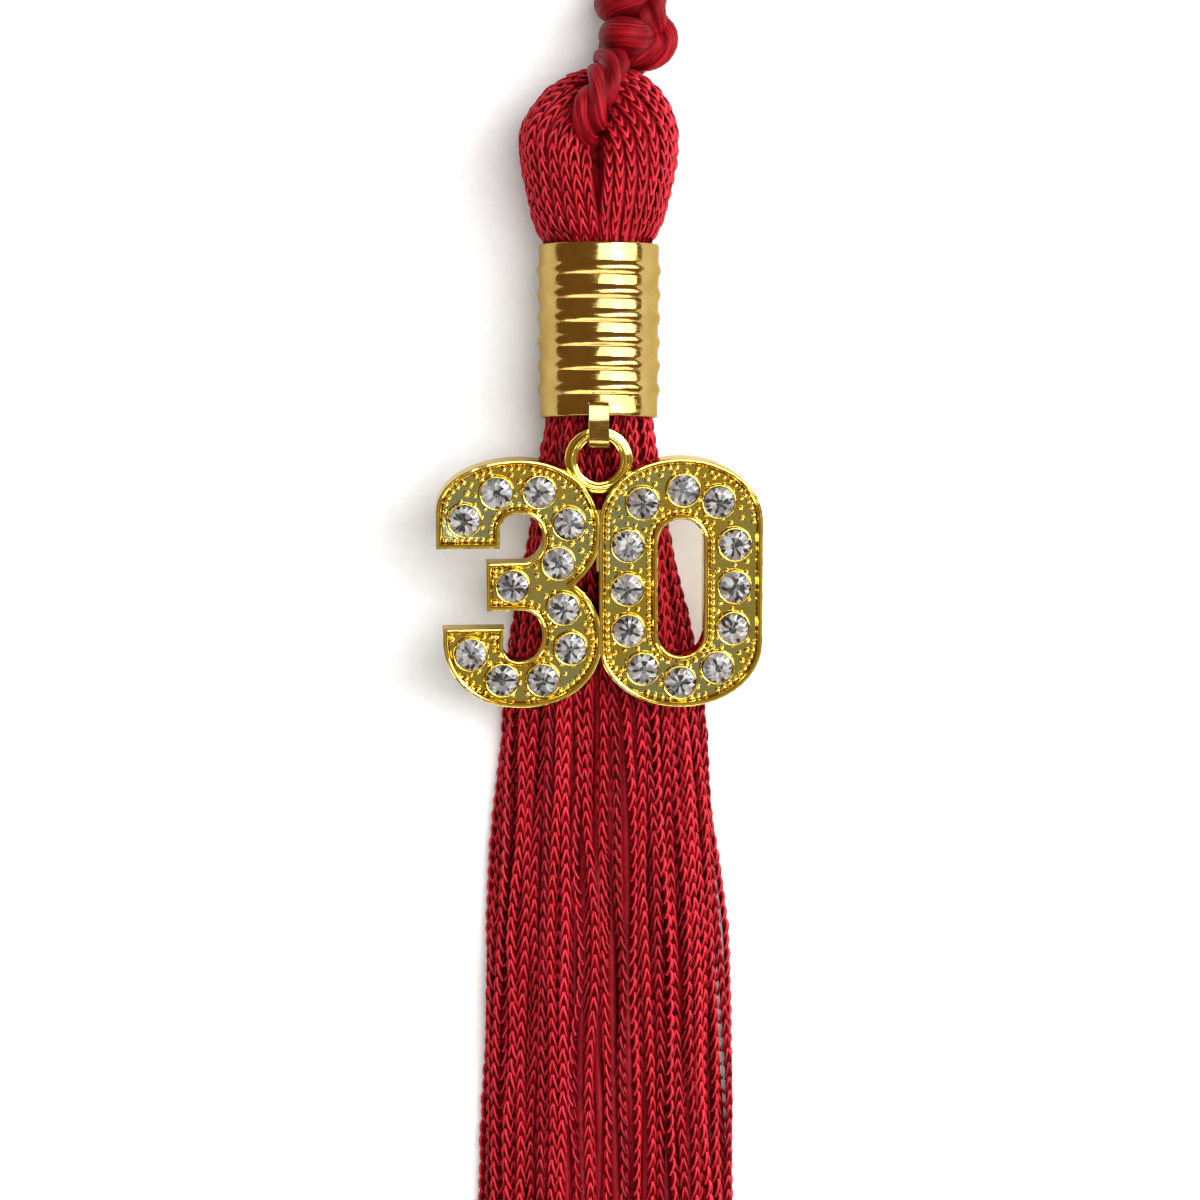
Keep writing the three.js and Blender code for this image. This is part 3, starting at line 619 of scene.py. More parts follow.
# A number that rises along each leg towards where it tucks under; the finish paints it darker as shade.
leg_with_tuck_shade = store(tree, sized_leg, "tuck_shade", math_node(tree, "POWER", leg_part["Factor"], 2.0))
measured = store(tree, leg_with_tuck_shade, "along", leg_part["Length"])
radius = start["Thread radius"]
thread = scaled(tree, marked_circle(tree, THREAD_SIDES), radius, radius, 1.0)
swell = math_node(tree, "SINE", math_node(tree, "MULTIPLY", leg_part["Factor"], math.pi))
plump = math_node(tree, "MULTIPLY_ADD", swell, SWELLING, THIN_END)
right_leg = swept(tree, measured, thread, Scale=plump)
left_leg = add(tree, "GeometryNodeFlipFaces", {"Mesh": scaled(tree, right_leg, -1.0, 1.0, 1.0)})
link = joined(tree, right_leg, left_leg.outputs[0])
turn = add(tree, "FunctionNodeAxesToRotation", {
    0: stored(tree, "way", "FLOAT_VECTOR"), 1: stored(tree, "front", "FLOAT_VECTOR")},
    primary_axis="Y", secondary_axis="Z")
link_width = by_chance(tree, *LINK_WIDTHS, start["Seed"])
wide = math_node(tree, "MULTIPLY", stored(tree, "size"), link_width)
link_size = add(tree, "ShaderNodeCombineXYZ", {0: wide, 1: 1.0, 2: wide})
sway = by_chance(tree, tuple(-s for s in SWAY), SWAY, start["Seed"])
swayed = add(tree, "FunctionNodeRotateRotation", {
    0: turn.outputs[0], 1: add(tree, "FunctionNodeEulerToRotation", {0: sway}).outputs[0]},
    rotation_space="LOCAL")
chain = add(tree, "GeometryNodeInstanceOnPoints", {
    "Points": resampled(tree, paths, start["Stitch"]), "Instance": link, "Rotation": swayed.outputs[0],
    "Scale": link_size.outputs[0]})
core_circle = add(tree, "GeometryNodeCurvePrimitiveCircle", {
    "Resolution": CORE_SIDES_OF_YARN, "Radius": start["Core radius"]})
core = swept(tree, resampled(tree, paths, CORE_STEP), core_circle.outputs[0], Fill_Caps=True)
# The core gets the yarn_shadow finish: painted shade.
dark_core = add(tree, "GeometryNodeSetMaterial", {
    "Geometry": store(tree, core, "tuck_shade", CORE_MARK), "Material": yarn_shadow})
is_link = math_node(tree, "LESS_THAN", stored(tree, "tuck_shade"), 1.5)
yarn_tree = serve(tree, start, joined(tree, chain.outputs[0], dark_core.outputs[0]), is_link)

# %% [markdown]
# ## Yarn that hardly shows
# Strands deep in the skirt and in the head only show through gaps. They are plain tubes on the same kind
# of path, six sides each, which keeps the model light.

# %% Plain yarn tree
tree, start = recipe("plain_yarn", {"Radius": 0.0005, "Step": 0.004})
spaced = resampled(tree, as_curves(tree, start), start["Step"])
measured = store(tree, spaced, "along", add(tree, "GeometryNodeSplineParameter").outputs["Length"])
outline = scaled(tree, marked_circle(tree, 6), start["Radius"], start["Radius"], 1.0)
plain_tree = serve(tree, start, swept(tree, measured, outline, Scale=stored(tree, "size"), Fill_Caps=True))

# %% [markdown]
# ## The skirt
# The skirt is the cut end of the skein: about ninety strands that leave the barrel as a round bundle, sink
# to the table and spread. The stations repeat the imported model's envelope. Each strand keeps its own share
# of the width and of the height, so strands run side by side like real ones, and small waves and turns
# of its own keep it from looking combed. A real skein never has two strands alike. Only the strands that
# show are linked ones; the plain ones under them are painted darker, as shade. A core, painted dark as
# shade, fills the bundle's middle near the barrel.

# %% Skirt strands
SKIRT_STATIONS = [
    (-2.5, -4.8, 4.8, 1.1, 9.5, 0), (0, -4.95, 4.95, 1.0, 9.5, 0), (0.8, -5.3, 5.3, 0.8, 9.4, 0.05),
    (3.5, -5.85, 5.75, 0.35, 8.95, 0.3), (8, -6.6, 6.75, 0, 8.15, 0.65), (19.6, -8.4, 8.9, 0, 6.1, 1),
    (27.5, -9.2, 9.9, 0, 4.8, 1), (47.5, -10.7, 11.9, 0, 4.9, 1), (85, -11.7, 13.2, 0, 4.7, 1),
    (140, -12.5, 14.0, 0, 4.4, 1), (196, -13.2, 14.8, 0, 4.2, 1)]
SKIRT_TOP, SKIRT_END = SKIRT_STATIONS[0][0], SKIRT_STATIONS[-1][0]
STRANDS_IN_LAYER = [26, 22, 18, 15, 11]
SHOWING_AT_EACH_EDGE = [4, 4, 6, 8, 11]
FULLNESS = 2.4
YARN_RADIUS = 0.5
STRAND_LOWEST, CORE_LOWEST = 0.62, 0.6
CROWDED_EDGES = 0.07
STRAY, STRAY_FROM, STRAY_OVER = 0.2, 34, 12
CROWN_DROP = 0.1
ROUND_BUNDLE_STAGGER = 0.9
POINT_SPACING = 2.0
WAVE = 6.28


def station(below):
    below = min(max(below, SKIRT_TOP), SKIRT_END)
    for a, b in zip(SKIRT_STATIONS, SKIRT_STATIONS[1:]):
        if below <= b[0]:
            t = (below - a[0]) / (b[0] - a[0])
            return [p + (q - p) * t for p, q in zip(a, b)][1:]


def reach_at(height, flat):
    round_one = max(0, 1 - abs(2 * height - 1) ** FULLNESS) ** (1 / FULLNESS)
    flat_one = max(0, 1 - height ** FULLNESS) ** (1 / FULLNESS)
    return round_one + (flat_one - round_one) * flat


def random_waves(chance, count, sizes, periods):
    return [(chance.uniform(*sizes), chance.uniform(*periods), chance.uniform(0, 6.3)) for _ in range(count)]


def wave_at(waves, below):
    return sum(size * math.sin(below / period * WAVE + begin) for size, period, begin in waves)


def skirt_strand(layer, index, chance):
    count = STRANDS_IN_LAYER[layer]
    across = index / (count - 1) * 2 - 1
    across += CROWDED_EDGES * math.sin(math.pi * across)
    height = (layer + 0.5) / len(STRANDS_IN_LAYER)
    strays = STRAY if layer < 2 and index == count - 1 else 0
    end = SKIRT_END - abs(chance.gauss(0, 1.6)) - chance.random() * 2
    sideways = random_waves(chance, 3, (0.05, 0.2), (18, 60))
    upwards = random_waves(chance, 2, (0.05, 0.16), (15, 50))
    roll = chance.choice((0.0, 0.35, -0.35, 0.9, -0.9)) + chance.uniform(-0.3, 0.3)
    roll_pace = chance.uniform(-1.2, 1.2)
    points, fronts = [], []
    below = SKIRT_TOP + chance.uniform(0, 1.35)
    while below <= end:
        left, right, low, high, flat = station(below)
        freedom = min(1, max(0, (below + 1) / 14))
        reach = reach_at(height, flat)
        middle, half = (left + right) / 2, (right - left) / 2 - YARN_RADIUS
        x = middle + across * half * reach
        x += wave_at(sideways, below) * freedom
        x += strays * min(1, max(0, (below - STRAY_FROM) / STRAY_OVER))
        crown = 1 - CROWN_DROP * flat * (across * reach) ** 2
        z = low + (high - low) * height * crown
        z += (index % 2 - 0.5) * ROUND_BUNDLE_STAGGER * (1 - flat)
        z += wave_at(upwards, below) * freedom
        points.append(at(x, -below, max(z, STRAND_LOWEST)))
        lean = across * (1.1 - 0.4 * height) * (1 - 0.35 * flat) + roll + roll_pace * below / 60
        fronts.append(Vector((math.sin(lean), 0, math.cos(lean))))
        below += POINT_SPACING
    width = chance.uniform(0.92, 1.06)
    return {"points": points, "way": [-d for d in directions(points)], "front": fronts,
            "shade": chance.uniform(0.1, 1.0), "size": [width] * (len(points) - 1) + [width * 0.4]}


chance = random.Random(30)
showing, hidden = [], []
for layer, count in enumerate(STRANDS_IN_LAYER):
    for index in range(count):
        edge = min(index, count - 1 - index)
        strand = skirt_strand(layer, index, chance)
        (showing if edge < SHOWING_AT_EACH_EDGE[layer] else hidden).append(strand)
showing.sort(key=lambda run: run["points"][-1].x)
quarter = math.ceil(len(showing) / 4)
skirt_pieces = []
for part_number in range(4):
    runs = showing[part_number * quarter:(part_number + 1) * quarter]
    label = f"skirt_yarn_{part_number + 1}"
    skirt_pieces.append(grown(label, path_mesh(label, runs), yarn_tree, chain_yarn))
for run in hidden:
    # Strands that lie under others are painted darker: painted shade.
    run["shade"] = run["shade"] * 0.4
    for label in ("points", "way", "front", "size"):
        del run[label][-2:]
skirt_pieces.append(grown("skirt_yarn_inner", path_mesh("skirt_yarn_inner", hidden), plain_tree, chain_yarn))

CORE_STOPS, CORE_SIDES, CORE_THINNER = [-2.5, 0, 2, 4, 8, 12, 16], 20, 3.2
core_points = []
for below in CORE_STOPS:
    left, right, low, high, flat = station(below)
    for angle in full_turn(CORE_SIDES):
        x = (left + right) / 2 + (right - left - CORE_THINNER) / 2 * math.cos(angle)
        z = (low + high) / 2 + (high - low - CORE_THINNER) / 2 * math.sin(angle)
        core_points.append(at(x, -below, max(z, CORE_LOWEST)))
core_faces = skin(len(CORE_STOPS), CORE_SIDES, TURNED_OVER)
core_faces += [tuple(range(CORE_SIDES)), tuple(range(len(core_points) - CORE_SIDES, len(core_points)))[::-1]]
# The core's dark finish is painted shade.
skirt_pieces.append(modelled("skirt_core", core_points, core_faces, yarn_shadow))
for piece in skirt_pieces:
    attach(piece, "tassel")
    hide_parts("yarn_skein")
print(len(showing), "linked strands and", len(hidden), "plain ones")

# %% [markdown]
# ## The head
# Above the barrel the same yarns rise, turn over the cord and come down again on the other side, which
# gives the head its two lobes and the notch between them. The rows are cross-sections of each lobe, from
# the barrel's top to the notch. A yarn goes up through the left rows at one share of their outline,
# crosses at the notch and comes down through the right rows. It is the path that the real yarn takes, so
# the lines fan out and gather by themselves. The cord pulls the lobes apart in front, so yarns near the
# middle move aside and sink a little there, and the core, painted dark as shade, shows in the parting. A
# layer of plain yarns under the linked ones is painted darker, as shade.

# %% Head yarns
NECK_LOW, NECK_HIGH = 5.85 - 4.77, 5.85 + 4.77
HEAD_ROWS = [
    ((-4.77, 1), (4.77, 1), (0, 1), NECK_LOW, NECK_HIGH, 2, 0),
    ((-4.77, 15.7), (4.77, 15.7), (0, 15.7), NECK_LOW, NECK_HIGH, 2, 0),
    ((-5.5, 16.6), (5.4, 16.6), (0, 16.5), 0.5, 11.1, 2.1, 0),
    ((-6.3, 17.9), (6.2, 18.1), (0, 17.8), 0, 11.6, 2.4, 0),
    ((-6.8, 20.3), (6.8, 20.6), (0, 20), -0.3, 12, 2.7, 0),
    ((-7.3, 23), (7.3, 23), (0, 22.3), -0.3, 12.2, 2.8, 0.1),
    ((-7.5, 25.3), (7.5, 25.3), (-0.1, 24.2), -0.3, 12.1, 2.8, 0.25),
    ((-7.2, 27.2), (7.35, 26.9), (-0.2, 25.4), -0.2, 11.8, 2.7, 0.4),
    ((-6.1, 29), (6.9, 28.5), (-0.2, 26.3), 0.3, 11.3, 2.5, 0.6),
    ((-4.9, 30.4), (6.1, 29.9), (-0.1, 27), 0.9, 10.8, 2.3, 0.8),
    ((-3.4, 31.4), (4.9, 31.2), (0.1, 27.5), 1.3, 10.3, 2.2, 1),
    ((-1.7, 32.2), (3.2, 32.2), (0.4, 27.8), 1.6, 9.9, 2.2, 1),
    ((1, 32.6), (0.4, 32.6), (0.7, 27.9), 1.7, 9.8, 2.2, 1)]
LOBE_SAMPLES = 28
HEAD_LOWEST = 0.68
FRONT_FROM = 5
PARTING_X, PARTING_Y = -0.65, 25.3
PARTING_REACH_X, PARTING_REACH_Y = 2.2, 7
PARTING_WIDTH, PARTING_DEPTH = 1.35, 0.7
FULL_WIDTH_YARN = 1.12


def head_ring(row, side, inset):
    """One lobe's outline: from the parting over the front to the edge, and back behind."""
    outer = Vector(row[0] if side < 0 else row[1])
    inner = Vector(row[2])
    low, high, full, bundle = row[3:]
    span = (outer - inner).length
    outer = inner + (outer - inner) * max(0.1, 1 - inset / max(span, 0.1))
    middle, half = (low + high) / 2, (high - low) / 2 - inset
    ring = []
    for sign, steps in ((1, range(LOBE_SAMPLES + 1)), (-1, range(LOBE_SAMPLES - 1, -1, -1))):
        for k in steps:
            out = (1 - math.cos(math.pi * k / LOBE_SAMPLES)) / 2
            open_height = max(0, 1 - out ** full) ** (1 / full)
            closed_height = 0.2 + 0.8 * max(0, 1 - abs(2 * out - 1) ** full) ** (1 / full)
            height = open_height + (closed_height - open_height) * bundle
            place = inner.lerp(outer, out)
            ring.append(Vector((place.x, place.y, max(middle + sign * half * height, HEAD_LOWEST))))
    return ring


def share_along(ring, share):
    lengths = [0.0]
    for a, b in zip(ring, ring[1:]):
        lengths.append(lengths[-1] + (b - a).length)
    goal = share * lengths[-1]
    for k in range(1, len(ring)):
        if lengths[k] >= goal:
            t = (goal - lengths[k - 1]) / max(lengths[k] - lengths[k - 1], 1e-9)
            return ring[k - 1].lerp(ring[k], t)
    return ring[-1]


def head_yarn(share, inset, count, chance):
    knots, outs, widths = [], [], []
    for side, rows in ((-1, HEAD_ROWS), (1, HEAD_ROWS[-2::-1])):
        for row in rows:
            ring = head_ring(row, side, inset)
            place = share_along(ring, share)
            widths.append(sum((b - a).length for a, b in zip(ring, ring[1:])) / count)
            if place.z > FRONT_FROM:
                parting = max(0, 1 - abs(place.y - PARTING_Y) / PARTING_REACH_Y)
                parting *= math.exp(-abs(place.x - PARTING_X) / PARTING_REACH_X)
                place.x += PARTING_WIDTH * parting * side
                place.z -= PARTING_DEPTH * parting
            outer = Vector(row[0] if side < 0 else row[1])
            inner = Vector(row[2])
            heart = inner.lerp(outer, 0.5 * row[6])
            away = place - Vector((heart.x, heart.y, (row[3] + row[4]) / 2))
            knots.append(place)
            outs.append(Vector((away.x / max(abs(outer.x - inner.x), 3), 0, away.z / 6)).normalized())
    path = smooth(knots, 1.0)
    del path[:chance.randrange(2)]
    path[0] += Vector((0, chance.uniform(0, 0.9), 0))
    nearest = [min(range(len(knots)), key=lambda i: (knots[i] - p).length) for p in path]
    roll = chance.uniform(-0.5, 0.5)
    fronts, sizes = [], []
    for i, p in zip(nearest, path):
        nearby = (max(i - 1, 0), i, min(i + 1, len(knots) - 1))
        weights = [(n, 1 / ((knots[n] - p).length + 0.3)) for n in nearby]
        front = sum((outs[n] * w for n, w in weights), Vector())
        sizes.append(sum(widths[n] * w for n, w in weights) / sum(w for n, w in weights) / FULL_WIDTH_YARN)
        fronts.append((front.normalized() + Vector((roll * 0.5, 0, 0))).normalized())
    points = [at(*p) for p in path]
    return {"points": points, "way": directions(points), "front": fronts,
            "shade": chance.uniform(0.35, 0.95), "size": sizes}


def head_layer(count, inset, chance):
    return [head_yarn((j + 0.5) / count, inset, count, chance) for j in range(count)]


head_runs = head_layer(18, 0.5, chance)
under_runs = head_layer(14, 1.35, chance)
for run in under_runs:
    # The yarns under the head get a low tone: painted shade.
    run["shade"], run["size"] = 0.1, 1.3
head_pieces = [
    grown("head_yarn", path_mesh("head_yarn", head_runs), yarn_tree, chain_yarn),
    grown("head_yarn_under", path_mesh("head_yarn_under", under_runs), plain_tree, chain_yarn)]

CORE_INSET = 1.7
heart_points, heart_faces = [], []
for side, corners in ((-1, OUTWARDS[::-1]), (1, OUTWARDS)):
    rings = [head_ring(row, side, CORE_INSET) for row in HEAD_ROWS]
    heart_faces += skin(len(rings), len(rings[0]), corners, first=len(heart_points))
    heart_points += [at(*p) for ring in rings for p in ring]
# The head's core has the dark yarn_shadow finish: painted shade.
head_pieces.append(modelled("head_core", heart_points, heart_faces, yarn_shadow))
for piece in head_pieces:
    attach(piece, "tassel")
    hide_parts("yarn_skein")
print(len(head_runs), "yarns over the head")

# %% [markdown]
# ## The knotted cord
# The cord goes round the skein's fold as a saddle, comes up in front and behind, and is tied in an
# overhand knot. Each part is a path for the same cord tree as the loop, so the twist and the silk match.
# The weight of the skein pulls the saddle's plies apart, so their middles lie further out. The knot's
# two close turns are pressed flat, so they have two broad plies.

# %% Knotted cord
SADDLE_ROUTE = [
    (1.75, 34.6, 3.2), (1.4, 33.7, 4.9), (1.05, 32.7, 7.4), (0.6, 31.4, 9.9), (0, 29.8, 11.3),
    (-0.65, 28.1, 11.5), (-1.0, 26.7, 10.3), (-1.05, 26.0, 7.6), (-0.6, 26.1, 4.6), (0, 27, 2.4),
    (1, 29, 1.95), (2.1, 31.2, 1.95), (3, 33, 2.3), (3.4, 34.4, 3.2)]
RISER = [(4.5, 35.2, 3.2), (4.75, 36.5, 4.7), (4.85, 38, 4.9), (4.8, 39.2, 3.6), (4.8, 40.1, 2.1)]
LOWER_STRAND = [(2.4, 34.8, 2.2), (2.2, 36.8, 2.1), (1.6, 38.6, 2.1), (1.2, 40.1, 2.1)]
LOBE = [(4.0, 37.4, 2.6), (5.3, 36.7, 3.3), (6.05, 35.5, 4.1), (5.6, 34.3, 4.6), (4.1, 33.7, 4.6),
        (2.3, 33.8, 4.0), (1.3, 34.4, 3.2)]
WRAPS = [((2.6, 35.3, 5.1), (0.85, 2.1), -0.2), ((2.2, 38.75, 4.4), (0.9, 2.0), 0.15)]
WRAP_STEPS = 24
# The wraps are painted a little darker than the rest of the cord: painted shade, as they lie away from the
# light.
WRAP_SHADE = 0.05


def wrap_route(centre, half, climb):
    """One close turn round the knot's middle, which starts and ends underneath."""
    cx, cy, cz = centre
    route = []
    for k in range(WRAP_STEPS + 1):
        turn_angle = 2 * math.pi * k / WRAP_STEPS - math.pi / 2
        route.append((cx + half[0] * math.cos(turn_angle), cy + climb * math.cos(turn_angle),
                      cz + half[1] * math.sin(turn_angle)))
    return route


def knot_part(name, routes, shade=0.0, **sizes):
    runs = [{"points": smooth([at(*p) for p in route], 0.0006), "shade": shade} for route in routes]
    return grown(name, path_mesh(name, runs), cord_tree, satin_cord, **sizes)


saddle = knot_part("cord_saddle", [SADDLE_ROUTE],
                   ply_radius=0.00084, ply_offset=0.00092, pitch=0.0105, first_turn=0.1)
strands = knot_part("cord_knot_strands", [RISER, LOWER_STRAND, LOBE],
                    ply_radius=0.00086, ply_offset=0.0007, pitch=0.012)
wraps = knot_part("cord_knot_wraps", [wrap_route(*w) for w in WRAPS], WRAP_SHADE,
                  plies=2, ply_radius=0.0016, ply_offset=0.00024, pitch=0.018, first_turn=0.2)
for piece in (saddle, strands, wraps):
    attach(piece, "tassel")
    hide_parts("knotted_cord")
print("the knot has", 3 + len(WRAPS), "parts")

# %% [markdown]
# ## Polished metals
# The barrel is pale rolled brass, so its finish has fine lines round the tube from the rolling. The charm
# is cast and plated in a deeper gold. Both are metals: their colour is the colour of what they reflect,
# so most of the look comes from the light, and the finish only adds what breaks a perfect mirror: shallow
# dents that make a reflection's edge waver, and fine marks over them.

# %% Barrel and charm finishes
def metal(name, color, dark, roughness, lines, line_direction):
    material, tree, shader = finish_of(name, roughness, metallic=1.0)
    shader.inputs["Specular Tint"].default_value = (0.78, 0.66, 0.5, 1)
    place = own_place(tree)
    stretched = add(tree, "ShaderNodeMapping", {"Vector": place, "Scale": line_direction}).outputs[0]
    marks = noise(tree, stretched, lines, 5.0)
    cloud = noise(tree, place, 420.0, 3.0)
    rough = ramp(tree, marks, [(0.35, (roughness * 0.6,) * 3), (0.7, (roughness * 1.8,) * 3)])
    tree.links.new(rough, shader.inputs["Roughness"])
    dents = bump(tree, cloud, 1.0, 0.00007)
    dress(tree, shader, ramp(tree, cloud, [(0.3, dark), (0.62, color)]),
          bump(tree, marks, 0.12, 0.00003, dents))
    return material


barrel_gold = metal("barrel_gold", (0.42, 0.3, 0.1), (0.35, 0.24, 0.07), 0.13, 60.0, (8.0, 90.0, 8.0))
charm_gold = metal("charm_gold", (0.7, 0.56, 0.13), (0.54, 0.41, 0.08), 0.07, 900.0, (1.0, 1.0, 1.0))
print("finishes:", barrel_gold.name, charm_gold.name)

# %% [markdown]
# ## The barrel
# The real barrel is a short tube with two lips and six rolled ribs. Anything round like this is one
# profile turned about an axis: a list of places along the tube with a radius for each. Each rib is a
# small rounded rise in that list, so it has a soft crest that catches the light as a line. The lip is
# written once, measured from the tube's end and from its surface, and serves both ends.

# %% Barrel
AXIS_Z = 5.85
MOUTH_RADIUS, TOP_RADIUS, BARREL_LENGTH, BARREL_WALL = 5.42, 5.58, 16.0, 0.35
BARREL_SEGMENTS = 128
RIB_COUNT, FIRST_RIB, RIB_PITCH, RIB_RISE, RIB_STEPS = 6, 2.6, 2.2, 0.21, 10
RIB_FOOT, RIB_HALF_WIDTH, RIB_ROUNDNESS = 0.72, 0.64, 1.1
LIP = [(0.12, -BARREL_WALL), (0.03, -0.27), (0.0, -0.14), (0.05, -0.03), (0.16, 0.02), (0.5, 0.0)]

profile = [(y, MOUTH_RADIUS + r) for y, r in LIP]
for rib in range(RIB_COUNT):
    middle = FIRST_RIB + RIB_PITCH * rib
    base = MOUTH_RADIUS + (TOP_RADIUS - MOUTH_RADIUS) * middle / BARREL_LENGTH
    profile.append((middle - RIB_FOOT, base))
    for k in range(RIB_STEPS + 1):
        t = k / RIB_STEPS * 2 - 1
        rise = RIB_RISE * math.cos(t * math.pi / 2) ** RIB_ROUNDNESS
        profile.append((middle + RIB_HALF_WIDTH * t, base + 0.01 + rise))
    profile.append((middle + RIB_FOOT, base))
profile += [(BARREL_LENGTH - y, TOP_RADIUS + r) for y, r in reversed(LIP)]
points = [at(r * math.sin(angle), y, AXIS_Z + r * math.cos(angle))
          for angle in full_turn(BARREL_SEGMENTS) for y, r in profile]
ribbed_barrel = modelled("ribbed_barrel", points, skin(BARREL_SEGMENTS, len(profile), rows_close=True),
                         barrel_gold, soft=True)
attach(ribbed_barrel, "tassel")
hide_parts("barrel")

# %% [markdown]
# ## The hook strap
# A narrow strip of the barrel's brass lies on its front, goes down past the mouth, turns round the charm's
# ring and goes back up inside. A strip is a small rectangle with bevelled corners, placed at each point of
# a side view. Hand-bent strips are never quite level, so its upper half rolls a little to one side and its
# lower half to the other, which gives it a light band and a dark one.

# %% Hook strap
HINGE = (0.0, -1.52, 11.0)
BACK_TOP = AXIS_Z + MOUTH_RADIUS + 0.3 + 0.2 - HINGE[2] - BARREL_WALL - 0.6 - 0.4
STRAP_BEND, STRAP_HALF_WIDTH, STRAP_HALF_THICKNESS, STRAP_BEVEL = 1.34, 0.94, 0.2, 0.07
UPPER_ROLL, LOWER_ROLL, ROLL_FROM, ROLL_OVER = -0.09, 0.07, HINGE[1] + 1.4, 0.6

side_view = [(2.64, 0.85), (2.62, 1.0), (2.52, 1.14), (2.2, 1.2), (1.6, 1.25), (1.0, 1.28), (0.3, 1.19),
             (-0.3, 1.08), (-0.8, 0.96), (-1.17, 0.74), (-1.32, 0.38)]
for degrees in (180, 202.5, 225, 247.5, 270):
    angle = math.radians(degrees)
    side_view.append((STRAP_BEND * math.cos(angle), STRAP_BEND * math.sin(angle)))
side_view += [(0.75, (BACK_TOP - STRAP_BEND) / 2 - 0.05), (1.42, BACK_TOP), (3.22, BACK_TOP)]
strap_line = smooth([(0, HINGE[1] + y, HINGE[2] + z) for y, z in side_view], 0.12)

width, thick, bevel = STRAP_HALF_WIDTH, STRAP_HALF_THICKNESS, STRAP_BEVEL
strap_outline = [
    (width - bevel, -thick), (width, -thick + bevel), (width, thick - bevel), (width - bevel, thick),
    (-width + bevel, thick), (-width, thick - bevel), (-width, -thick + bevel), (-width + bevel, -thick)]
points = []
for p, along_line in zip(strap_line, directions(strap_line)):
    up = Vector((1, 0, 0)).cross(along_line).normalized()
    lowered = min(1, max(0, (ROLL_FROM - p.y) / ROLL_OVER))
    roll = UPPER_ROLL + (LOWER_ROLL - UPPER_ROLL) * lowered if p.z > HINGE[2] else 0
    points += [at(*(p + Vector((x, 0, 0)) + up * (h - x * roll))) for x, h in strap_outline]
size = len(strap_outline)
faces = skin(len(strap_line), size)
faces += [tuple(range(size))[::-1], tuple(range(len(points) - size, len(points)))]
hook_strip = modelled("hook_strip", points, faces, barrel_gold, sharp_from=30)
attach(hook_strip, "tassel")
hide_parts("hook_strap")

# %% [markdown]
# ## The charm's numerals
# The charm is one casting: a 3 and a 0 side by side, each with a raised rim and a sunken floor. In a
# casting like this every edge is a little soft. So each outline is drawn once as a list of points, and
# `inset` gives the same outline further in. Rings of points at several insets and heights make the wall,
# the soft edge, the rim and the floor's edge. In the path of the 3, two numbers are a straight line's
# end, and six are a curve's two handles and its end.

# %% Numeral outlines
CHARM_PLACE = (Matrix.Translation(at(*HINGE)) @ Matrix.Rotation(math.radians(10), 4, "X")
               @ Matrix.Rotation(math.radians(4), 4, "Y") @ Matrix.Scale(0.001, 4))
THREE_PATH = [
    (-15, -10.5), (-9.15, -10.5), (-9.15, -8.9), (-9.1, -8, -8.5, -7.3, -7.4, -7.3),
    (-6.1, -7.3, -5.2, -8.3, -5.2, -9.6), (-5.2, -10.8, -6, -11.8, -7.1, -11.8), (-10.4, -11.8),
    (-10.4, -16.3), (-7.1, -16.3), (-6, -16.3, -5.25, -17.3, -5.25, -18.7),
    (-5.25, -20.1, -6.1, -21, -7.4, -21), (-8.3, -21, -9, -20.4, -8.9, -19.3), (-8.75, -17.9),
    (-14.4, -17.9), (-14.4, -19.3), (-14.2, -22.8, -11.4, -25.4, -7.2, -25.4),
    (-2.6, -25.4, 0.2, -22.6, 0.2, -19.3), (0.2, -17, -0.6, -15.2, -2.2, -13.9),
    (-0.7, -12.5, 0.05, -11.2, 0.05, -9.1), (0.05, -4.9, -3.2, -2.3, -7.4, -2.3),
    (-11, -2.3, -14.9, -3.9, -15, -7)]
LINE_STEP, CURVE_STEP = 0.6, 0.4
ZERO_MIDDLE, ZERO_HALF_WIDTH, ZERO_TOP, ZERO_BOTTOM, ZERO_SHOULDER = 7.48, 7.56, -2.3, -25.5, 5.9
EYE_HALF_WIDTH, EYE_TOP, EYE_BOTTOM = 2.13, -7.95, -20.7


def drawn(commands):
    points = [Vector(commands[0])]
    for command in commands[1:]:
        begin = points[-1]
        if len(command) == 2:
            goal = Vector(command)
            steps = max(1, round((goal - begin).length / LINE_STEP))
            points += [begin.lerp(goal, k / steps) for k in range(1, steps + 1)]
        else:
            b, c, d = Vector(command[:2]), Vector(command[2:4]), Vector(command[4:])
            steps = max(6, round((d - begin).length / CURVE_STEP))
            for k in range(1, steps + 1):
                t = k / steps
                points.append(begin * (1 - t) ** 3 + b * 3 * t * (1 - t) ** 2
                              + c * 3 * t * t * (1 - t) + d * t ** 3)
    return points


def rounded_slot(middle, half_width, top, bottom, shoulder, steps=22):
    points = []
    for begin, centre in ((0, top - shoulder), (math.pi, bottom + shoulder)):
        for k in range(steps + 1):
            angle = begin + math.pi * k / steps
            x = middle + half_width * math.cos(angle)
            points.append(Vector((x, centre + shoulder * math.sin(angle))))
    return points


def inset(points, distance):
    moved = []
    for i, p in enumerate(points):
        a = (p - points[i - 1]).normalized()
        b = (points[(i + 1) % len(points)] - p).normalized()
        left = Vector((-(a.y + b.y), a.x + b.x)).normalized()
        moved.append(p + left * (distance / max(0.5, left.dot(Vector((-a.y, a.x))))))
    return moved


three_outline = drawn(THREE_PATH)
zero_outline = rounded_slot(ZERO_MIDDLE, ZERO_HALF_WIDTH, ZERO_TOP, ZERO_BOTTOM, ZERO_SHOULDER)
eye_outline = rounded_slot(ZERO_MIDDLE, EYE_HALF_WIDTH, EYE_TOP, EYE_BOTTOM, EYE_HALF_WIDTH, 16)[::-1]
print("outline points:", len(three_outline), len(zero_outline), len(eye_outline))

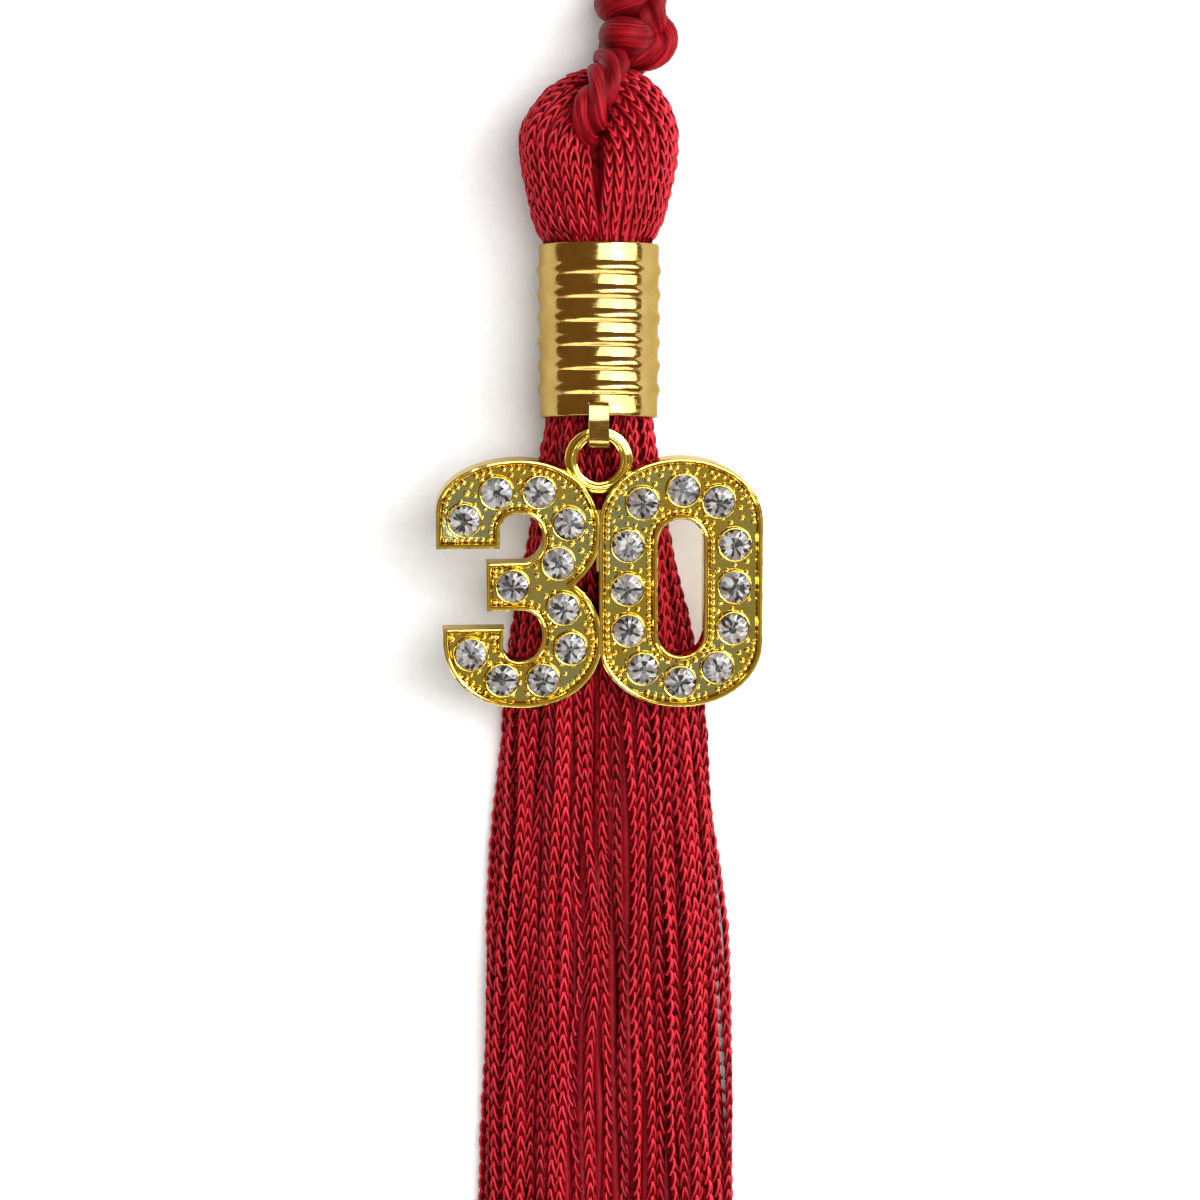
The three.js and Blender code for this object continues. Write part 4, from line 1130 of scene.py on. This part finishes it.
# %% [markdown]
# ## Rims, walls and floors
# Two finishes show on the charm: polished gold on the walls, rims and ring, and a darker gold on the floor.
# The floor's colour is partly its own darker gold and partly painted reflection: its large olive patches
# stand in for the dim room that the floor mirrors. One mesh may carry both finishes: each face names its
# finish by number. The floor is filled round holes for the stones. A small web of metal joins the two
# numerals where their sides come close, as the mould's designer would add for strength.

# %% Charm body
THREE_STONES = [
    (-12.4, -7.85), (-9.43, -5.32), (-5.55, -5.32), (-2.78, -8.23), (-3.79, -11.99), (-7.96, -14.05),
    (-3.33, -16.12), (-2.68, -19.87), (-11.84, -20.34), (-9.02, -22.79), (-5.18, -22.79)]
ZERO_STONES = [
    (3.98, -6.44), (7.68, -5.27), (11.0, -6.4), (2.64, -10.39), (12.4, -10.39), (2.59, -14.43),
    (12.49, -14.33), (2.68, -18.28), (12.3, -18.19), (3.98, -21.85), (7.4, -23.16), (10.92, -21.85)]
STONE_PLACES = THREE_STONES + ZERO_STONES
CUP_RADIUS, CUP_SIDES, FLOOR_Z, RIM_Z, BACK_Z = 1.38, 24, 0.7, 1.2, -1.2
RIM_RINGS = [
    (0.14, BACK_Z), (0.04, BACK_Z + 0.04), (0, BACK_Z + 0.14), (0, RIM_Z - 0.16), (0.03, RIM_Z - 0.06),
    (0.09, RIM_Z - 0.01), (0.16, RIM_Z), (0.26, RIM_Z), (0.33, RIM_Z - 0.03), (0.4, RIM_Z - 0.08),
    (0.46, RIM_Z - 0.15), (0.51, RIM_Z - 0.26), (0.56, FLOOR_Z + 0.06), (0.64, FLOOR_Z)]
ZERO_LIFT = 0.012
WEB_SIDES, WEB_ENDS, WEB_HEIGHTS = (-0.3, 0.35), (-12.7, -7.0), (BACK_Z + 0.1, RIM_Z - 0.08)

charm_floor, tree, shader = finish_of("charm_floor", 0.09, metallic=1.0)
place = own_place(tree)
# Gold and olive patches: the floor's darker gold, partly painted reflection of the dim room.
gold_and_reflection_patches = ramp(tree, noise(tree, place, 95.0, 2.0), [
    (0.4, (0.48, 0.33, 0.05)), (0.5, (0.42, 0.38, 0.12)), (0.62, (0.37, 0.37, 0.19))])
dress(tree, shader, gold_and_reflection_patches, bump(tree, noise(tree, place, 900.0, 2.0), 0.15, 0.0001))


def on_charm(loop, z):
    return [CHARM_PLACE @ Vector((p.x, p.y, z)) for p in loop]


def fill_between(loops, z, points, up=None):
    """Adds the loops' points at one height, and returns faces that fill the first loop round the others."""
    first = len(points)
    flat = [Vector((p.x, p.y, 0)) for loop in loops for p in loop]
    points += on_charm(flat, z)
    faces = []
    for triangle in tessellate_polygon([[Vector((p.x, p.y, 0)) for p in loop] for loop in loops]):
        a, b, c = (flat[i] for i in triangle)
        upward = (b - a).cross(c - a).z > 0
        order = triangle if up is None or upward == up else reversed(triangle)
        faces.append(tuple(first + i for i in order))
    return faces


def casting(name, outlines, stones, lift=0.0):
    points, walls = [], []
    for outline in outlines:
        walls += skin(len(RIM_RINGS), len(outline), first=len(points))
        for inwards, z in RIM_RINGS:
            points += on_charm(inset(outline, inwards), z + (lift if z > 0 else 0))
    cups = [[Vector((x + CUP_RADIUS * math.cos(angle), y - CUP_RADIUS * math.sin(angle)))
             for angle in full_turn(CUP_SIDES)] for x, y in stones]
    floor = fill_between([inset(o, RIM_RINGS[-1][0]) for o in outlines] + cups, FLOOR_Z, points, True)
    back = fill_between([inset(o, RIM_RINGS[0][0]) for o in outlines], BACK_Z, points, False)
    piece = modelled(name, points, walls + floor + back, charm_gold, charm_floor, sharp_from=15)
    piece.data.polygons.foreach_set("material_index", [0] * len(walls) + [1] * len(floor) + [0] * len(back))
    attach(piece, "charm")
    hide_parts("number_charm")


casting("numeral_three", [three_outline], THREE_STONES)
casting("numeral_zero", [zero_outline, eye_outline], ZERO_STONES, lift=ZERO_LIFT)

(x0, x1), (y0, y1) = WEB_SIDES, WEB_ENDS
web_plan = ((x0, y0), (x1, y0), (x1, y1), (x0, y1))
web_corners = [CHARM_PLACE @ Vector((x, y, z)) for z in WEB_HEIGHTS for x, y in web_plan]
numeral_web = modelled("numeral_web", web_corners, [(3, 2, 1, 0), (4, 5, 6, 7), *skin(2, 4)], charm_gold)
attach(numeral_web, "charm")
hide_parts("number_charm")

# %% [markdown]
# ## The charm's ring
# The ring that hangs in the hook is turned like the barrel, but round the charm's own axis and with a
# step in its face. It sinks into the tops of both numerals, which is how the casting joins them.

# %% Charm ring
RING_X, RING_Y = -0.04, -2.535
RING_SEGMENTS = 64
RING_PROFILE = [
    (1.95, 0.3), (2.0, 0.44), (2.12, 0.5), (2.2, 0.5), (2.27, 0.64), (2.36, 0.68), (2.62, 0.68), (2.7, 0.64),
    (2.76, 0.48), (2.92, 0.46), (3.05, 0.42), (3.12, 0.3), (3.12, -0.5), (3.06, -0.63), (2.94, -0.68),
    (2.13, -0.68), (2.0, -0.62), (1.95, -0.5)]

points = [CHARM_PLACE @ Vector((RING_X + r * math.cos(angle), RING_Y + r * math.sin(angle), z))
          for angle in full_turn(RING_SEGMENTS) for r, z in RING_PROFILE]
faces = skin(RING_SEGMENTS, len(RING_PROFILE), (1, 0, 3, 2), rows_close=True)
charm_ring = modelled("charm_ring", points, faces, charm_gold, sharp_from=40)
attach(charm_ring, "charm")
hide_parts("number_charm")

# %% [markdown]
# ## Stones and their seats
# A brilliant-cut stone is a ring of facets round a flat table, over a cone of facets with a silver foil
# behind. Seen from above, the foil shows as bright and dark wedges that meet in a dark middle. Real
# wedges come from light that bounces several times inside the stone, which costs much time and gives
# noise. So the wedges are painted: flat facets with painted reflections in their own tones, from white to
# near black, with a fine noise of painted glints, and a clear coat over them gives the glassy top. Each
# stone is turned, tilted and mixed differently by a fixed seed.
# Each sits in a thin raised cup, which is a small turned ring.

# %% Stones
WEDGES = 16
STONE_RINGS = [(0.36, 0, 1.5), (0.84, 0, 1.5), (1.14, 0.5, 1.39), (1.46, 0, 1.16), (1.46, 0, 0.8)]
SEAT_RINGS = [(1.68, 0.66), (1.64, 1.0), (1.6, 1.18), (1.54, 1.25), (1.46, 1.23), (1.42, 1.12), (1.39, 0.66)]
SEAT_SEGMENTS = 28
STONE_LEAN = 0.05
PAINTED_STONE_REFLECTIONS = [(0.0, (0.006, 0.006, 0.007)), (0.2, (0.03, 0.03, 0.032)), (0.38, (0.12, 0.12, 0.125)),
               (0.55, (0.17, 0.165, 0.17)), (0.68, (0.26, 0.18, 0.15)), (0.76, (0.17, 0.168, 0.166)),
               (1.0, (0.38, 0.376, 0.37))]

clear_stone, tree, shader = finish_of("clear_stone", 0.12, Coat_Weight=0.6, Coat_Roughness=0.02,
                                      Specular_IOR_Level=0.6)
# Painted glints: fine noise that brightens and darkens spots of each facet's painted reflection.
painted_glints = math_node(tree, "SUBTRACT", noise(tree, own_place(tree), 1500.0, 1.0), 0.5)
mixed = math_node(tree, "MULTIPLY_ADD", painted_glints, 0.35, number(tree, "facet"))
dress(tree, shader, ramp(tree, mixed, PAINTED_STONE_REFLECTIONS))


def brilliant():
    """A low cut stone: sixteen wedges in the table, star facets round it and facets down to its edge."""
    points = [Vector((0, 0, STONE_RINGS[0][2]))]
    for r, shift, z in STONE_RINGS:
        angles = [math.radians(360 / WEDGES * (k + shift)) for k in range(WEDGES)]
        points += [Vector((r * math.cos(a), r * math.sin(a), z)) for a in angles]
    hub, table, star, edge, foot = (1 + WEDGES * row for row in range(5))
    faces = []
    for k in range(WEDGES):
        n = (k + 1) % WEDGES
        faces += [
            (0, hub + k, hub + n), (hub + k, table + k, table + n, hub + n),
            (table + k, star + k, table + n), (table + n, star + k, edge + n, star + n),
            (star + k, edge + k, edge + n), (edge + k, foot + k, foot + n, edge + n)]
    return points, faces


def seat():
    points = [Vector((r * math.cos(angle), r * math.sin(angle), z))
              for angle in full_turn(SEAT_SEGMENTS) for r, z in SEAT_RINGS]
    return points, skin(SEAT_SEGMENTS, len(SEAT_RINGS), TURNED_OVER, rows_close=True, size_closes=False)


def wedge_tones(tones, chance):
    """Mixes bright and dark painted reflections in the wedges. Each wedge has six facets, and the last keeps
    its tone.
    """
    for first in range(0, len(tones), len(tones) // WEDGES):
        wedge = chance.choice((0.05, 0.2, 0.45, 0.72, 0.9, 1.0))
        near_hub = chance.choice((0.0, 0.1, 0.25, 0.5))
        star = min(1, wedge + chance.uniform(-0.3, 0.3))
        kite = chance.choice((0.1, 0.4, 0.7, 0.85, 1.0))
        girdle = chance.choice((0.1, 0.3, 0.5, 0.75, 1.0))
        tones[first:first + 5] = [near_hub, wedge, star, kite, girdle]
    return tones


def on_stone_places(name, template, finish, chance, soft=False, tones_of=None):
    """One piece with the template at every stone's place, each turned and tilted by chance."""
    shape, shape_faces = template
    points, faces, facets = [], [], []
    for x, y in STONE_PLACES:
        turn_by = Matrix.Rotation(chance.uniform(0, math.pi / 4), 4, "Z")
        lean_by = (Matrix.Rotation(chance.uniform(-STONE_LEAN, STONE_LEAN), 4, "X")
                   @ Matrix.Rotation(chance.uniform(-STONE_LEAN, STONE_LEAN), 4, "Y"))
        place = CHARM_PLACE @ Matrix.Translation((x, y, 0)) @ lean_by @ turn_by
        faces += [tuple(len(points) + i for i in face) for face in shape_faces]
        points += [place @ p for p in shape]
        tones = [chance.random() for _ in shape_faces]
        facets += tones_of(tones, chance) if tones_of else tones
    piece = modelled(name, points, faces, finish, soft=soft)
    piece.data.attributes.new("facet", "FLOAT", "FACE").data.foreach_set("value", facets)
    return piece


clear_stones = on_stone_places("clear_stones", brilliant(), clear_stone, random.Random(8),
                               tones_of=wedge_tones)
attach(clear_stones, "charm")
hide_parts(*[f"stone_{i:02d}" for i in range(1, 24)])
stone_seats = on_stone_places("stone_seats", seat(), charm_gold, random.Random(3), soft=True)
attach(stone_seats, "charm")
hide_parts("number_charm")
print(len(STONE_PLACES), "stones")

# %% [markdown]
# ## Gold beads
# Between the stones the floor is covered with small gold grains, close together along the rims and in
# loose groups elsewhere. This is what scattering is for. The tree gets two things in one mesh: faces,
# where it scatters grains that keep a least distance, and loose lines just inside the rims, which it
# divides evenly. It puts a small sphere on every point, in sizes that a fixed seed chooses. Lines that
# pass too close to a stone are left out.

# %% Bead tree and beads
BEAD_Z = FLOOR_Z + 0.17
ROW_INSET, GROUND_INSET, STONE_CLEARANCE = 0.83, 1.25, 1.86
GRAINS_PER_SQUARE_METRE = 6.0e6
GRAIN_SHIFT = (0.00006, 0.00006, 0.00004)
GRAIN_SIZES = (0.75, 1.2)

tree, start = recipe("gold_beads", {
    "Bead radius": 0.00027, "Row spacing": 0.00064, "Least distance": 0.00078, "Kept in rows": 0.85,
    "Seed": 5})
faces_beside = add(tree, "GeometryNodeInputMeshEdgeNeighbors").outputs[0]
loose = add(tree, "FunctionNodeCompare", {2: faces_beside, 3: 0}, data_type="INT", operation="EQUAL")
lines = add(tree, "GeometryNodeMeshToCurve", {"Mesh": start["Paths"], "Selection": loose.outputs[0]})
spaced = add(tree, "GeometryNodeCurveToPoints", {
    "Curve": lines.outputs[0], "Length": start["Row spacing"]}, mode="LENGTH")
keep = add(tree, "FunctionNodeRandomValue", {
    "Probability": start["Kept in rows"], "Seed": start["Seed"]}, data_type="BOOLEAN")
drop = add(tree, "FunctionNodeBooleanMath", {0: keep.outputs[3]}, operation="NOT")
kept = add(tree, "GeometryNodeDeleteGeometry", {
    "Geometry": spaced.outputs[0], "Selection": drop.outputs[0]}, domain="POINT")
scattered = add(tree, "GeometryNodeDistributePointsOnFaces", {
    "Mesh": start["Paths"], "Distance Min": start["Least distance"], "Density Max": GRAINS_PER_SQUARE_METRE,
    "Seed": start["Seed"]}, distribute_method="POISSON")
grains = joined(tree, kept.outputs[0], scattered.outputs[0])
moved = add(tree, "GeometryNodeSetPosition", {
    "Geometry": grains, "Offset": by_chance(tree, tuple(-s for s in GRAIN_SHIFT), GRAIN_SHIFT)})
ball = add(tree, "GeometryNodeMeshIcoSphere", {"Radius": start["Bead radius"], "Subdivisions": 2})
beads = add(tree, "GeometryNodeInstanceOnPoints", {
    "Points": moved.outputs[0], "Instance": ball.outputs[0],
    "Scale": by_chance(tree, *GRAIN_SIZES, start["Seed"])})
bead_tree = serve(tree, start, beads.outputs[0])

points, faces, edges = [], [], []
for outlines, stones in (([three_outline], THREE_STONES), ([zero_outline, eye_outline], ZERO_STONES)):
    for outline in outlines:
        row = inset(outline, ROW_INSET)
        first = len(points)
        points += on_charm(row, BEAD_Z)
        for i, p in enumerate(row):
            q = row[(i + 1) % len(row)]
            if all((Vector(s) - (p + q) / 2).length > STONE_CLEARANCE for s in stones):
                edges.append((first + i, first + (i + 1) % len(row)))
    faces += fill_between([inset(o, GROUND_INSET) for o in outlines], BEAD_Z, points)
ground_mesh = bpy.data.meshes.new("bead_ground")
ground_mesh.from_pydata(points, edges, faces)
gold_beads = grown("gold_beads", ground_mesh, bead_tree, charm_gold)
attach(gold_beads, "charm")
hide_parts("number_charm")

# %% [markdown]
# ## Size and finish
# Last, the dressed model's box is printed next to the imported model's box. Cloth and yarn may stand
# a little proud of the solids, but no more than that.

# %% Compare the boxes and finish
made_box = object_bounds()
for label, box in (("CAD", cad_box), ("made", made_box)):
    print(label, [round(v * 1000, 2) for corner in box for v in corner], "mm")
